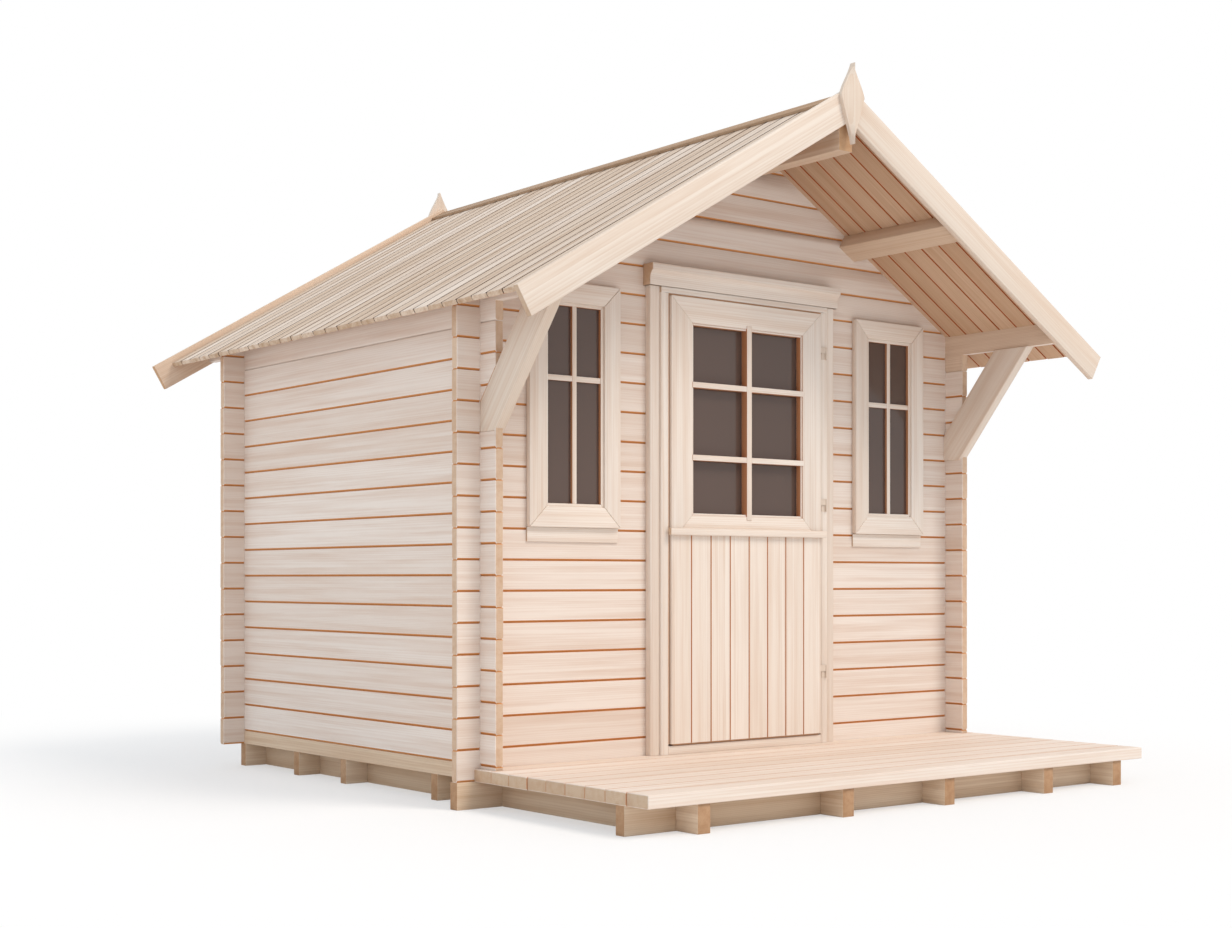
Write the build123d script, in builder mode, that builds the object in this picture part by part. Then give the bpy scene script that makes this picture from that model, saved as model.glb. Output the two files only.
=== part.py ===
"""A timber garden shed: interlocking log walls, boarded gable roof, framed door and deck."""

import os
from math import cos, radians, sin, tan

from build123d import *

# Sizes are in millimetres. X runs along the front wall, Y from the deck to the back, Z up.

# Logs and walls
WALL_WIDTH = 2560
WALL_DEPTH = 1920
LOG_PITCH = 115
LOG_THICKNESS = 34
LOG_STUB = 100
GROOVE_RISE = 7
GROOVE_DROP = 1.5
GROOVE_DEPTH = 6
FRONT_COURSES = 16
SIDE_COURSES = 14

# Base
BEARER_HEIGHT = 100
BEARER_WIDTH = 45
BEARERS_FROM_FRONT = (310, 1000, 1400)
NOGGING_INSET = 100
FLOOR_THICKNESS = 19

# Deck
DECK_REACH = 1000
DECK_SIDE_LAP = 30
DECK_THICKNESS = 45
DECK_BOARD_PITCH = 111
DECK_SEAM_WIDTH = 3
DECK_SEAM_DEPTH = 4
DECK_NOTCH_GAP = 2
JOIST_WIDTH = 55
JOISTS_FROM_LEFT = (248, 920, 1452, 2028)
SHORT_JOIST_FROM_LEFT = 155
LAST_JOIST_FROM_RIGHT = 155
JOIST_SETBACK = 10
CROSS_BEAM_SETBACK = 120

# Roof
ROOF_PITCH = 30.5
ROOF_BOARD = 19
EAVE_OVERHANG = 185
FRONT_OVERHANG = 620
REAR_OVERHANG = 350
BARGE_OVERHANG = 270
BARGE_WIDTH = 115
BARGE_THICKNESS = 25
BARGE_RISE = 30
CAP_WIDTH = 70
CAP_THICKNESS = 12
FINIAL_HALF_WIDTH = 62
FINIAL_ABOVE = 87
FINIAL_BELOW = 223
FINIAL_SHOULDER = 18
FINIAL_THICKNESS = 25
RIDGE_BEAM_WIDTH = 70
RIDGE_BEAM_DEPTH = 190
PURLIN_WIDTH = 105
PURLIN_DEPTH = 60
PURLIN_FROM_RIDGE = 600
EAVE_LOG_FACE = 140
EAVE_LOG_LIFT = 72

# Knee braces
BRACE_THICKNESS = 45
BRACE_DEPTH = 140
BRACE_ANGLE = 51
BRACE_FOOT = 1370
BRACE_HEEL = 110

# Windows
WINDOW_FROM_CENTRE = 860
WINDOW_GLASS_WIDTH = 250
WINDOW_GLASS_HEIGHT = 745
WINDOW_GLASS_BASE = 1120
WINDOW_FRAME_WIDTH = 25
WINDOW_FRAME_PROUD = 15
WINDOW_CASING_WIDTH = 78
WINDOW_CASING_REVEAL = 12
WINDOW_CASING_THICKNESS = 25
WINDOW_APRON_HEIGHT = 55
WINDOW_APRON_THICKNESS = 12
WINDOW_GLASS_SETBACK = 14
GLASS_THICKNESS = 4

# Door
LEAF_WIDTH = 822
LEAF_BASE = 187
LEAF_HEIGHT = 1763
LEAF_THICKNESS = 40
LEAF_PROUD = 50
LEAF_GAP = 8
LEAF_REST_GAP = 5
LEAF_STILE = 108
LEAF_TOP_RAIL = 100
LEAF_MIDDLE_RAIL = 66
LOWER_PANEL_HEIGHT = 835
LEDGE_HEIGHT = 28
LEDGE_DROP = 14
LEDGE_PROUD = 18
LEDGE_OVERHANG = 17
DOOR_GLASS_SETBACK = 32
JAMB_WIDTH = 36
JAMB_PROUD = 40
HEAD_HEIGHT = 24
STOP_WIDTH = 22
DOOR_CASING_WIDTH = 48
DOOR_CASING_THICKNESS = 30
CORNICE_OVERHANG = 12
CORNICE_HEIGHT = 84
CORNICE_TOP_PROUD = 62
CORNICE_FOOT_PROUD = 44
CORNICE_TOP_BAND = 26
CORNICE_FOOT_BAND = 26

# Hinges
HINGE_HEIGHTS = (420, 1120, 1760)
HINGE_OFFSET = 34
HINGE_PIN_RADIUS = 2.5
HINGE_PIN_CLEARANCE = 0.05
HINGE_PIN_END_GAP = 3
HINGE_BARREL_RADIUS = 4.5
HINGE_KNUCKLE = 26
HINGE_KNUCKLE_GAP = 0.3
HINGE_PLATE = 2
HINGE_STRAP_DEPTH = 30
HINGE_PLATE_INSET = 2

# Places that follow from the sizes
PITCH = radians(ROOF_PITCH)
HALF_WIDTH = WALL_WIDTH / 2
INNER_HALF_WIDTH = HALF_WIDTH - LOG_THICKNESS
HALF_PITCH = LOG_PITCH / 2
BACK_REACH = WALL_DEPTH + REAR_OVERHANG + FINIAL_THICKNESS
FRONT_FACE = (DECK_REACH - BACK_REACH) / 2
BACK_FACE = FRONT_FACE + WALL_DEPTH
FRONT_INNER_FACE = FRONT_FACE + LOG_THICKNESS
BACK_INNER_FACE = BACK_FACE - LOG_THICKNESS
GABLE_BASE = BEARER_HEIGHT + FRONT_COURSES * LOG_PITCH
SIDE_TOP = BEARER_HEIGHT + HALF_PITCH + SIDE_COURSES * LOG_PITCH
ROOF_UNDERSIDE = SIDE_TOP + EAVE_LOG_FACE + HALF_WIDTH * tan(PITCH)
RIDGE_HEIGHT = ROOF_UNDERSIDE + ROOF_BOARD / cos(PITCH)
BARGE_APEX = RIDGE_HEIGHT + BARGE_RISE
ROOF_FRONT = FRONT_FACE - FRONT_OVERHANG + BARGE_THICKNESS
ROOF_BACK = BACK_FACE + REAR_OVERHANG - BARGE_THICKNESS
OVERHANG_UNDERSIDE = SIDE_TOP + EAVE_LOG_LIFT
DECK_TOP = BEARER_HEIGHT + DECK_THICKNESS
DECK_HALF_WIDTH = HALF_WIDTH + DECK_SIDE_LAP
DECK_FRONT = FRONT_FACE - DECK_REACH
HALF_LEAF = LEAF_WIDTH / 2
LEAF_TOP = LEAF_BASE + LEAF_HEIGHT
LEAF_FRONT = FRONT_FACE - LEAF_PROUD
LEAF_BACK = LEAF_FRONT + LEAF_THICKNESS
LOWER_PANEL_TOP = LEAF_BASE + LOWER_PANEL_HEIGHT
JAMB_INNER = HALF_LEAF + LEAF_GAP
JAMB_OUTER = JAMB_INNER + JAMB_WIDTH
JAMB_FRONT = FRONT_FACE - JAMB_PROUD
HEAD_BASE = LEAF_TOP + LEAF_GAP
HEAD_TOP = HEAD_BASE + HEAD_HEIGHT
SILL_TOP = LEAF_BASE - LEAF_GAP
HINGE_X = HALF_LEAF + HINGE_OFFSET
HINGE_Y = (LEAF_FRONT + JAMB_FRONT) / 2
LEFT, RIGHT = -1, 1


def finish(piece, node):
    """Labels a finished piece and writes it to its own file."""
    piece.part.label = node
    export_step(piece.part, f"parts/{node}.step")


def side_name(side):
    """The word for a side of the shed, seen from the front."""
    return "left" if side == LEFT else "right"


def block(low, high, mode=Mode.ADD):
    """Adds a block between two corners to the part in work, or cuts it away."""
    centre = tuple((a + b) / 2 for a, b in zip(low, high))
    size = [abs(b - a) for a, b in zip(low, high)]
    with Locations(centre):
        Box(*size, mode=mode)


def block_across(side, near, far, low, high, mode=Mode.ADD):
    """A block between two distances from the middle, on one side of the shed."""
    block((side * near, *low), (side * far, *high), mode)


def prism_along_y(outlines, front, back, mode=Mode.ADD):
    """Extrudes outlines of (x, z) points from a front to a back depth."""
    with BuildSketch(Plane.XZ.offset(-front)) as section:
        for outline in outlines:
            with BuildLine():
                Polyline(*outline, close=True)
            make_face()
    extrude(section.sketch, amount=front - back, mode=mode)


def prism_along_x(outlines, start, end, mode=Mode.ADD):
    """Extrudes outlines of (y, z) points from one x to a larger one."""
    with BuildSketch(Plane.YZ.offset(start)) as section:
        for outline in outlines:
            with BuildLine():
                Polyline(*outline, close=True)
            make_face()
    extrude(section.sketch, amount=end - start, mode=mode)


def roof_drop(height, distance):
    """Height of a line along the roof slope, at a distance from the ridge."""
    return height - distance * tan(PITCH)


def joints_between(first_joint, low, high):
    """Heights of the log joints from a low to a high limit, both included."""
    joints = []
    joint = first_joint
    while joint <= high:
        if joint >= low:
            joints.append(joint)
        joint += LOG_PITCH
    return joints


def groove(face, inward, joint):
    """The V between two logs: a bevel under the upper one and a small one on the lower."""
    return [
        (face, joint - GROOVE_DROP),
        (face + inward * GROOVE_DEPTH, joint),
        (face, joint + GROOVE_RISE),
    ]


def cut_grooves_across(front, low, high):
    """Cuts the grooves of a front or back wall, on both of its faces."""
    joints = joints_between(BEARER_HEIGHT + LOG_PITCH, low, high)
    reach = HALF_WIDTH + LOG_STUB
    faces = ((front, 1), (front + LOG_THICKNESS, -1))
    outlines = [groove(face, inward, joint) for face, inward in faces for joint in joints]
    prism_along_x(outlines, -reach, reach, Mode.SUBTRACT)


def cut_grooves_along(side, front, back, low, high):
    """Cuts the grooves of a side wall, on both of its faces."""
    joints = joints_between(BEARER_HEIGHT + HALF_PITCH, low, high)
    faces = ((side * HALF_WIDTH, -side), (side * INNER_HALF_WIDTH, side))
    outlines = [groove(face, inward, joint) for face, inward in faces for joint in joints]
    prism_along_y(outlines, front, back, Mode.SUBTRACT)


def cut_crossings(sides, fronts, band_shift, top):
    """Cuts the half of each corner crossing that the other wall's logs fill."""
    band = BEARER_HEIGHT + band_shift
    while band - LOG_PITCH / 4 < top:
        low = max(band - LOG_PITCH / 4, 0)
        high = band + LOG_PITCH / 4
        for side in sides:
            for front in fronts:
                block_across(
                    side,
                    INNER_HALF_WIDTH,
                    HALF_WIDTH,
                    (front, low),
                    (front + LOG_THICKNESS, high),
                    Mode.SUBTRACT,
                )
        band += LOG_PITCH


def purlin_outline(side):
    """Section of a middle purlin, laid flat against the roof boards."""
    inner = PURLIN_FROM_RIDGE
    outer = inner + PURLIN_WIDTH * cos(PITCH)
    inward, down = PURLIN_DEPTH * sin(PITCH), PURLIN_DEPTH * cos(PITCH)
    top_inner = roof_drop(ROOF_UNDERSIDE, inner)
    top_outer = roof_drop(ROOF_UNDERSIDE, outer)
    return [
        (side * inner, top_inner),
        (side * outer, top_outer),
        (side * (outer - inward), top_outer - down),
        (side * (inner - inward), top_inner - down),
    ]


def ridge_beam_outline():
    """Section of the ridge beam, with its top cut to both slopes."""
    half = RIDGE_BEAM_WIDTH / 2
    base = ROOF_UNDERSIDE - RIDGE_BEAM_DEPTH
    shoulder = roof_drop(ROOF_UNDERSIDE, half)
    return [(-half, base), (half, base), (half, shoulder), (0, ROOF_UNDERSIDE), (-half, shoulder)]


def wall_end_outline(side, inner_edge):
    """Front or back wall from an inner edge to its log ends, under the roof slope."""
    outer = HALF_WIDTH + LOG_STUB
    shoulder = (ROOF_UNDERSIDE - GABLE_BASE) / tan(PITCH)
    return [
        (side * inner_edge, BEARER_HEIGHT),
        (side * outer, BEARER_HEIGHT),
        (side * outer, roof_drop(ROOF_UNDERSIDE, outer)),
        (side * shoulder, GABLE_BASE),
        (side * inner_edge, GABLE_BASE),
    ]


def window_opening(side, grow):
    """Corners of a window opening, grown on every side from its glass."""
    half = WINDOW_GLASS_WIDTH / 2 + grow
    left = side * WINDOW_FROM_CENTRE - half
    low = WINDOW_GLASS_BASE - grow
    high = WINDOW_GLASS_BASE + WINDOW_GLASS_HEIGHT + grow
    return (left, low), (left + 2 * half, high)


def window_block(side, grow, front, back, mode=Mode.ADD):
    """A block as large as a grown window opening, between two depths."""
    (left, low), (right, high) = window_opening(side, grow)
    block((left, front, low), (right, back, high), mode)


def make_base():
    """Bearers, noggings and the floor of the room."""
    with BuildPart() as front_bearer:
        reach = HALF_WIDTH + LOG_STUB
        block((-reach, FRONT_FACE, 0), (reach, FRONT_FACE + BEARER_WIDTH, BEARER_HEIGHT))
    finish(front_bearer, "front_bearer")

    half = BEARER_WIDTH / 2
    fronts = [FRONT_FACE + place - half for place in BEARERS_FROM_FRONT]
    fronts.append(BACK_FACE - BEARER_WIDTH)
    with BuildPart() as bearers:
        for front in fronts:
            block((-HALF_WIDTH, front, 0), (HALF_WIDTH, front + BEARER_WIDTH, BEARER_HEIGHT))
    finish(bearers, "bearers")

    outer = HALF_WIDTH - NOGGING_INSET
    starts = [FRONT_FACE + BEARER_WIDTH] + [front + BEARER_WIDTH for front in fronts[:-1]]
    with BuildPart() as noggings:
        for side in (LEFT, RIGHT):
            for start, end in zip(starts, fronts):
                block_across(side, outer - BEARER_WIDTH, outer, (start, 0), (end, BEARER_HEIGHT))
    finish(noggings, "noggings")

    with BuildPart() as floor:
        block(
            (-INNER_HALF_WIDTH, FRONT_INNER_FACE, BEARER_HEIGHT),
            (INNER_HALF_WIDTH, BACK_INNER_FACE, BEARER_HEIGHT + FLOOR_THICKNESS),
        )
    finish(floor, "floor")


def make_deck():
    """Deck boards on joists, with a cross beam between the joists."""
    with BuildPart() as deck:
        block((-DECK_HALF_WIDTH, DECK_FRONT, BEARER_HEIGHT), (DECK_HALF_WIDTH, FRONT_FACE, DECK_TOP))
        seam = DECK_FRONT + DECK_BOARD_PITCH
        while seam < FRONT_FACE - DECK_SEAM_WIDTH:
            block(
                (-DECK_HALF_WIDTH, seam, DECK_TOP - DECK_SEAM_DEPTH),
                (DECK_HALF_WIDTH, seam + DECK_SEAM_WIDTH, DECK_TOP),
                Mode.SUBTRACT,
            )
            seam += DECK_BOARD_PITCH
        for side in (LEFT, RIGHT):
            block_across(
                side,
                INNER_HALF_WIDTH - DECK_NOTCH_GAP,
                HALF_WIDTH + DECK_NOTCH_GAP,
                (FRONT_FACE - LOG_STUB - DECK_NOTCH_GAP, BEARER_HEIGHT),
                (FRONT_FACE, DECK_TOP),
                Mode.SUBTRACT,
            )
    finish(deck, "deck")

    half = JOIST_WIDTH / 2
    joists = [place - DECK_HALF_WIDTH for place in JOISTS_FROM_LEFT]
    joists.append(DECK_HALF_WIDTH - LAST_JOIST_FROM_RIGHT)
    beam_front = DECK_FRONT + CROSS_BEAM_SETBACK
    beam_back = beam_front + BEARER_WIDTH
    with BuildPart() as deck_joists:
        for place in joists:
            block((place - half, DECK_FRONT + JOIST_SETBACK, 0), (place + half, FRONT_FACE, BEARER_HEIGHT))
        short = SHORT_JOIST_FROM_LEFT - DECK_HALF_WIDTH
        block((short - half, beam_back, 0), (short + half, FRONT_FACE, BEARER_HEIGHT))
    finish(deck_joists, "deck_joists")

    starts = [-DECK_HALF_WIDTH] + [place + half for place in joists]
    ends = [place - half for place in joists] + [DECK_HALF_WIDTH]
    with BuildPart() as deck_cross_beam:
        for start, end in zip(starts, ends):
            block((start, beam_front, 0), (end, beam_back, BEARER_HEIGHT))
    finish(deck_cross_beam, "deck_cross_beam")


def brace_line(height):
    """Depth of a knee brace's back edge at a height."""
    heel = BRACE_FOOT + BRACE_HEEL
    return FRONT_FACE - (height - heel) / tan(radians(BRACE_ANGLE))


def make_side(side):
    """A side wall, the eave log on it and the knee brace in front of it."""
    front, back = FRONT_FACE - LOG_STUB, BACK_FACE + LOG_STUB
    low_x, high_x = sorted((side * INNER_HALF_WIDTH, side * HALF_WIDTH))
    heel = BRACE_FOOT + BRACE_HEEL
    stub_rise = heel + LOG_STUB * tan(radians(BRACE_ANGLE))
    brace_seat = [(FRONT_FACE, BRACE_FOOT), (FRONT_FACE, heel), (front, stub_rise), (front, BRACE_FOOT)]
    with BuildPart() as side_wall:
        block((low_x, front, BEARER_HEIGHT), (high_x, back, SIDE_TOP))
        cut_grooves_along(side, front, back, BEARER_HEIGHT, SIDE_TOP)
        cut_crossings((side,), (FRONT_FACE, BACK_INNER_FACE), HALF_PITCH, SIDE_TOP)
        prism_along_x([brace_seat], low_x, high_x, Mode.SUBTRACT)
    finish(side_wall, f"{side_name(side)}_wall")

    section = [
        (side * INNER_HALF_WIDTH, SIDE_TOP),
        (side * HALF_WIDTH, SIDE_TOP),
        (side * HALF_WIDTH, roof_drop(ROOF_UNDERSIDE, HALF_WIDTH)),
        (side * INNER_HALF_WIDTH, roof_drop(ROOF_UNDERSIDE, INNER_HALF_WIDTH)),
    ]
    with BuildPart() as eave_log:
        prism_along_y([section], ROOF_FRONT, ROOF_BACK)
        for start, end in ((ROOF_FRONT, front), (back, ROOF_BACK)):
            block((low_x, start, SIDE_TOP), (high_x, end, OVERHANG_UNDERSIDE), Mode.SUBTRACT)
        cut_grooves_along(side, front, back, SIDE_TOP, SIDE_TOP)
        cut_crossings((side,), (FRONT_FACE, BACK_INNER_FACE), HALF_PITCH, ROOF_UNDERSIDE)
    finish(eave_log, f"{side_name(side)}_eave_log")

    across = BRACE_DEPTH / sin(radians(BRACE_ANGLE))
    top = OVERHANG_UNDERSIDE
    brace_outline = [
        (brace_line(BRACE_FOOT) - across, BRACE_FOOT),
        (FRONT_FACE, BRACE_FOOT),
        (FRONT_FACE, heel),
        (brace_line(top), top),
        (brace_line(top) - across, top),
    ]
    low_x, high_x = sorted((side * (HALF_WIDTH - BRACE_THICKNESS), side * HALF_WIDTH))
    with BuildPart() as brace:
        prism_along_x([brace_outline], low_x, high_x)
    finish(brace, f"{side_name(side)}_brace")


def make_front_wall(side):
    """The front wall beside the doorway, with its window opening."""
    with BuildPart() as front_wall:
        prism_along_y([wall_end_outline(side, JAMB_OUTER)], FRONT_FACE, FRONT_INNER_FACE)
        window_block(side, WINDOW_FRAME_WIDTH, FRONT_FACE, FRONT_INNER_FACE, Mode.SUBTRACT)
        cut_grooves_across(FRONT_FACE, BEARER_HEIGHT, GABLE_BASE)
        cut_crossings((side,), (FRONT_FACE,), 0, GABLE_BASE)
    finish(front_wall, f"front_wall_{side_name(side)}")


def make_back_wall():
    """The back wall, plain from corner to corner."""
    with BuildPart() as back_wall:
        for side in (LEFT, RIGHT):
            prism_along_y([wall_end_outline(side, 0)], BACK_INNER_FACE, BACK_FACE)
        cut_grooves_across(BACK_INNER_FACE, BEARER_HEIGHT, GABLE_BASE)
        cut_crossings((LEFT, RIGHT), (BACK_INNER_FACE,), 0, GABLE_BASE)
    finish(back_wall, "back_wall")


def make_gable(node, front, door_head):
    """The boards above the wall, let out round the roof timbers and a door head."""
    shoulder = (ROOF_UNDERSIDE - GABLE_BASE) / tan(PITCH)
    outline = [(-shoulder, GABLE_BASE), (shoulder, GABLE_BASE), (0, ROOF_UNDERSIDE)]
    back = front + LOG_THICKNESS
    timbers = [purlin_outline(LEFT), purlin_outline(RIGHT), ridge_beam_outline()]
    with BuildPart() as gable:
        prism_along_y([outline], front, back)
        prism_along_y(timbers, front, back, Mode.SUBTRACT)
        if door_head > GABLE_BASE:
            block((-JAMB_OUTER, front, GABLE_BASE), (JAMB_OUTER, back, door_head), Mode.SUBTRACT)
        cut_grooves_across(front, GABLE_BASE, ROOF_UNDERSIDE)
        cut_crossings((LEFT, RIGHT), (front,), 0, ROOF_UNDERSIDE)
    finish(gable, node)


def make_roof():
    """Roof timbers, roof slopes, ridge cap, barge boards and finials."""
    with BuildPart() as ridge_beam:
        prism_along_y([ridge_beam_outline()], ROOF_FRONT, ROOF_BACK)
    finish(ridge_beam, "ridge_beam")

    for side in (LEFT, RIGHT):
        with BuildPart() as purlin:
            prism_along_y([purlin_outline(side)], ROOF_FRONT, ROOF_BACK)
        finish(purlin, f"{side_name(side)}_purlin")

        eave = HALF_WIDTH + EAVE_OVERHANG
        eave_top = roof_drop(RIDGE_HEIGHT, eave)
        slope = [
            (0, RIDGE_HEIGHT),
            (side * eave, eave_top),
            (side * (eave - ROOF_BOARD * sin(PITCH)), eave_top - ROOF_BOARD * cos(PITCH)),
            (0, ROOF_UNDERSIDE),
        ]
        with BuildPart() as roof_slope:
            prism_along_y([slope], ROOF_FRONT, ROOF_BACK)
        finish(roof_slope, f"roof_{side_name(side)}")

    foot = (CAP_WIDTH * cos(PITCH), RIDGE_HEIGHT - CAP_WIDTH * sin(PITCH))
    edge = (foot[0] + CAP_THICKNESS * sin(PITCH), foot[1] + CAP_THICKNESS * cos(PITCH))
    cap_apex = (0, RIDGE_HEIGHT + CAP_THICKNESS / cos(PITCH))
    cap = [(0, RIDGE_HEIGHT), foot, edge, cap_apex, (-edge[0], edge[1]), (-foot[0], foot[1])]
    with BuildPart() as ridge_cap:
        prism_along_y([cap], ROOF_FRONT, ROOF_BACK)
    finish(ridge_cap, "ridge_cap")

    make_verge("front", ROOF_FRONT - BARGE_THICKNESS, -1)
    make_verge("back", ROOF_BACK, 1)


def make_verge(end, barge_front, outward):
    """Two barge boards and the finial over their joint, at one end of the roof."""
    reach = HALF_WIDTH + BARGE_OVERHANG
    end_top = roof_drop(BARGE_APEX, reach)
    for side in (LEFT, RIGHT):
        outline = [
            (0, BARGE_APEX),
            (side * reach, end_top),
            (side * (reach - BARGE_WIDTH * sin(PITCH)), end_top - BARGE_WIDTH * cos(PITCH)),
            (0, BARGE_APEX - BARGE_WIDTH / cos(PITCH)),
        ]
        with BuildPart() as barge_board:
            prism_along_y([outline], barge_front, barge_front + BARGE_THICKNESS)
        finish(barge_board, f"{end}_barge_{side_name(side)}")

    shoulder = BARGE_APEX - FINIAL_SHOULDER
    diamond = [
        (0, BARGE_APEX + FINIAL_ABOVE),
        (FINIAL_HALF_WIDTH, shoulder),
        (0, BARGE_APEX - FINIAL_BELOW),
        (-FINIAL_HALF_WIDTH, shoulder),
    ]
    finial_front = barge_front - FINIAL_THICKNESS if outward < 0 else barge_front + BARGE_THICKNESS
    with BuildPart() as finial:
        prism_along_y([diamond], finial_front, finial_front + FINIAL_THICKNESS)
    finish(finial, f"{end}_finial")


def make_window(side):
    """Casing with its apron, frame in the opening, and the pane."""
    name = side_name(side)
    lap = WINDOW_CASING_REVEAL
    outer = lap + WINDOW_CASING_WIDTH
    casing_front = FRONT_FACE - WINDOW_CASING_THICKNESS
    (left, low), (right, _) = window_opening(side, outer)
    with BuildPart() as casing:
        window_block(side, outer, casing_front, FRONT_FACE)
        window_block(side, lap, casing_front, FRONT_FACE, Mode.SUBTRACT)
        block(
            (left, FRONT_FACE - WINDOW_APRON_THICKNESS, low - WINDOW_APRON_HEIGHT),
            (right, FRONT_FACE, low),
        )
    finish(casing, f"{name}_window_casing")

    frame_front = FRONT_FACE - WINDOW_FRAME_PROUD
    with BuildPart() as frame:
        window_block(side, lap, frame_front, FRONT_FACE)
        window_block(side, WINDOW_FRAME_WIDTH, FRONT_FACE, FRONT_INNER_FACE)
        window_block(side, 0, frame_front, FRONT_INNER_FACE, Mode.SUBTRACT)
    finish(frame, f"{name}_window_frame")

    glass_front = frame_front + WINDOW_GLASS_SETBACK
    with BuildPart() as glass:
        window_block(side, 0, glass_front, glass_front + GLASS_THICKNESS)
    finish(glass, f"{name}_window_glass")


def make_door_surround():
    """Jambs, head and stops of the door frame, its sill, and the casing with its cornice."""
    stop_front = LEAF_BACK + LEAF_REST_GAP
    jamb_section = [
        (JAMB_FRONT, DECK_TOP),
        (FRONT_FACE, DECK_TOP),
        (FRONT_FACE, BEARER_HEIGHT),
        (FRONT_INNER_FACE, BEARER_HEIGHT),
        (FRONT_INNER_FACE, HEAD_TOP),
        (JAMB_FRONT, HEAD_TOP),
    ]
    with BuildPart() as door_frame:
        prism_along_x([jamb_section], -JAMB_OUTER, -JAMB_INNER)
        prism_along_x([jamb_section], JAMB_INNER, JAMB_OUTER)
        block((-JAMB_INNER, JAMB_FRONT, HEAD_BASE), (JAMB_INNER, FRONT_INNER_FACE, HEAD_TOP))
        clear = JAMB_INNER - STOP_WIDTH
        for side in (LEFT, RIGHT):
            block_across(side, clear, JAMB_INNER, (stop_front, SILL_TOP), (FRONT_INNER_FACE, HEAD_BASE))
        block((-clear, stop_front, HEAD_BASE - STOP_WIDTH), (clear, FRONT_INNER_FACE, HEAD_BASE))
    finish(door_frame, "door_frame")

    sill_section = [
        (JAMB_FRONT, DECK_TOP),
        (FRONT_FACE, DECK_TOP),
        (FRONT_FACE, BEARER_HEIGHT),
        (FRONT_INNER_FACE, BEARER_HEIGHT),
        (FRONT_INNER_FACE, SILL_TOP),
        (JAMB_FRONT, SILL_TOP),
    ]
    with BuildPart() as door_sill:
        prism_along_x([sill_section], -JAMB_INNER, JAMB_INNER)
    finish(door_sill, "door_sill")

    casing_front = FRONT_FACE - DOOR_CASING_THICKNESS
    casing_outer = JAMB_OUTER + DOOR_CASING_WIDTH
    cornice_half = casing_outer + CORNICE_OVERHANG
    top_front, foot_front = FRONT_FACE - CORNICE_TOP_PROUD, FRONT_FACE - CORNICE_FOOT_PROUD
    cornice_top = HEAD_TOP + CORNICE_HEIGHT
    with BuildPart() as door_casing:
        for side in (LEFT, RIGHT):
            block_across(side, JAMB_OUTER, casing_outer, (casing_front, DECK_TOP), (FRONT_FACE, HEAD_TOP))
        with BuildSketch(Plane.YZ.offset(-cornice_half)):
            with BuildLine():
                cove_foot = (foot_front, HEAD_TOP + CORNICE_FOOT_BAND)
                cove_top = (top_front, cornice_top - CORNICE_TOP_BAND)
                Polyline((FRONT_FACE, HEAD_TOP), (foot_front, HEAD_TOP), cove_foot)
                SagittaArc(cove_foot, cove_top, (top_front - foot_front) / 4)
                Polyline(cove_top, (top_front, cornice_top), (FRONT_FACE, cornice_top), (FRONT_FACE, HEAD_TOP))
            make_face()
        extrude(amount=2 * cornice_half)
    finish(door_casing, "door_casing")


def make_door_leaf():
    """The leaf: framed glass above a boarded panel, with a ledge over their joint."""
    with BuildPart() as upper_frame:
        block((-HALF_LEAF, LEAF_FRONT, LOWER_PANEL_TOP), (HALF_LEAF, LEAF_BACK, LEAF_TOP))
        glass_low = LOWER_PANEL_TOP + LEAF_MIDDLE_RAIL
        glass_high = LEAF_TOP - LEAF_TOP_RAIL
        glass_half = HALF_LEAF - LEAF_STILE
        block((-glass_half, LEAF_FRONT, glass_low), (glass_half, LEAF_BACK, glass_high), Mode.SUBTRACT)
    finish(upper_frame, "door_upper_frame")

    with BuildPart() as lower_panel:
        block((-HALF_LEAF, LEAF_FRONT, LEAF_BASE), (HALF_LEAF, LEAF_BACK, LOWER_PANEL_TOP))
    finish(lower_panel, "door_lower_panel")

    ledge_base = LOWER_PANEL_TOP - LEDGE_DROP
    ledge_half = HALF_LEAF + LEDGE_OVERHANG
    with BuildPart() as ledge:
        block(
            (-ledge_half, LEAF_FRONT - LEDGE_PROUD, ledge_base),
            (ledge_half, LEAF_FRONT, ledge_base + LEDGE_HEIGHT),
        )
    finish(ledge, "door_ledge")

    glass_front = LEAF_FRONT + DOOR_GLASS_SETBACK
    with BuildPart() as glass:
        block((-glass_half, glass_front, glass_low), (glass_half, glass_front + GLASS_THICKNESS, glass_high))
    finish(glass, "door_glass")


def barrel(radius, base, height, mode=Mode.ADD):
    """An upright cylinder on the hinge axis."""
    with BuildSketch(Plane.XY.offset(base)) as ring:
        with Locations((HINGE_X, HINGE_Y)):
            Circle(radius)
    extrude(ring.sketch, amount=height, mode=mode)


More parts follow.
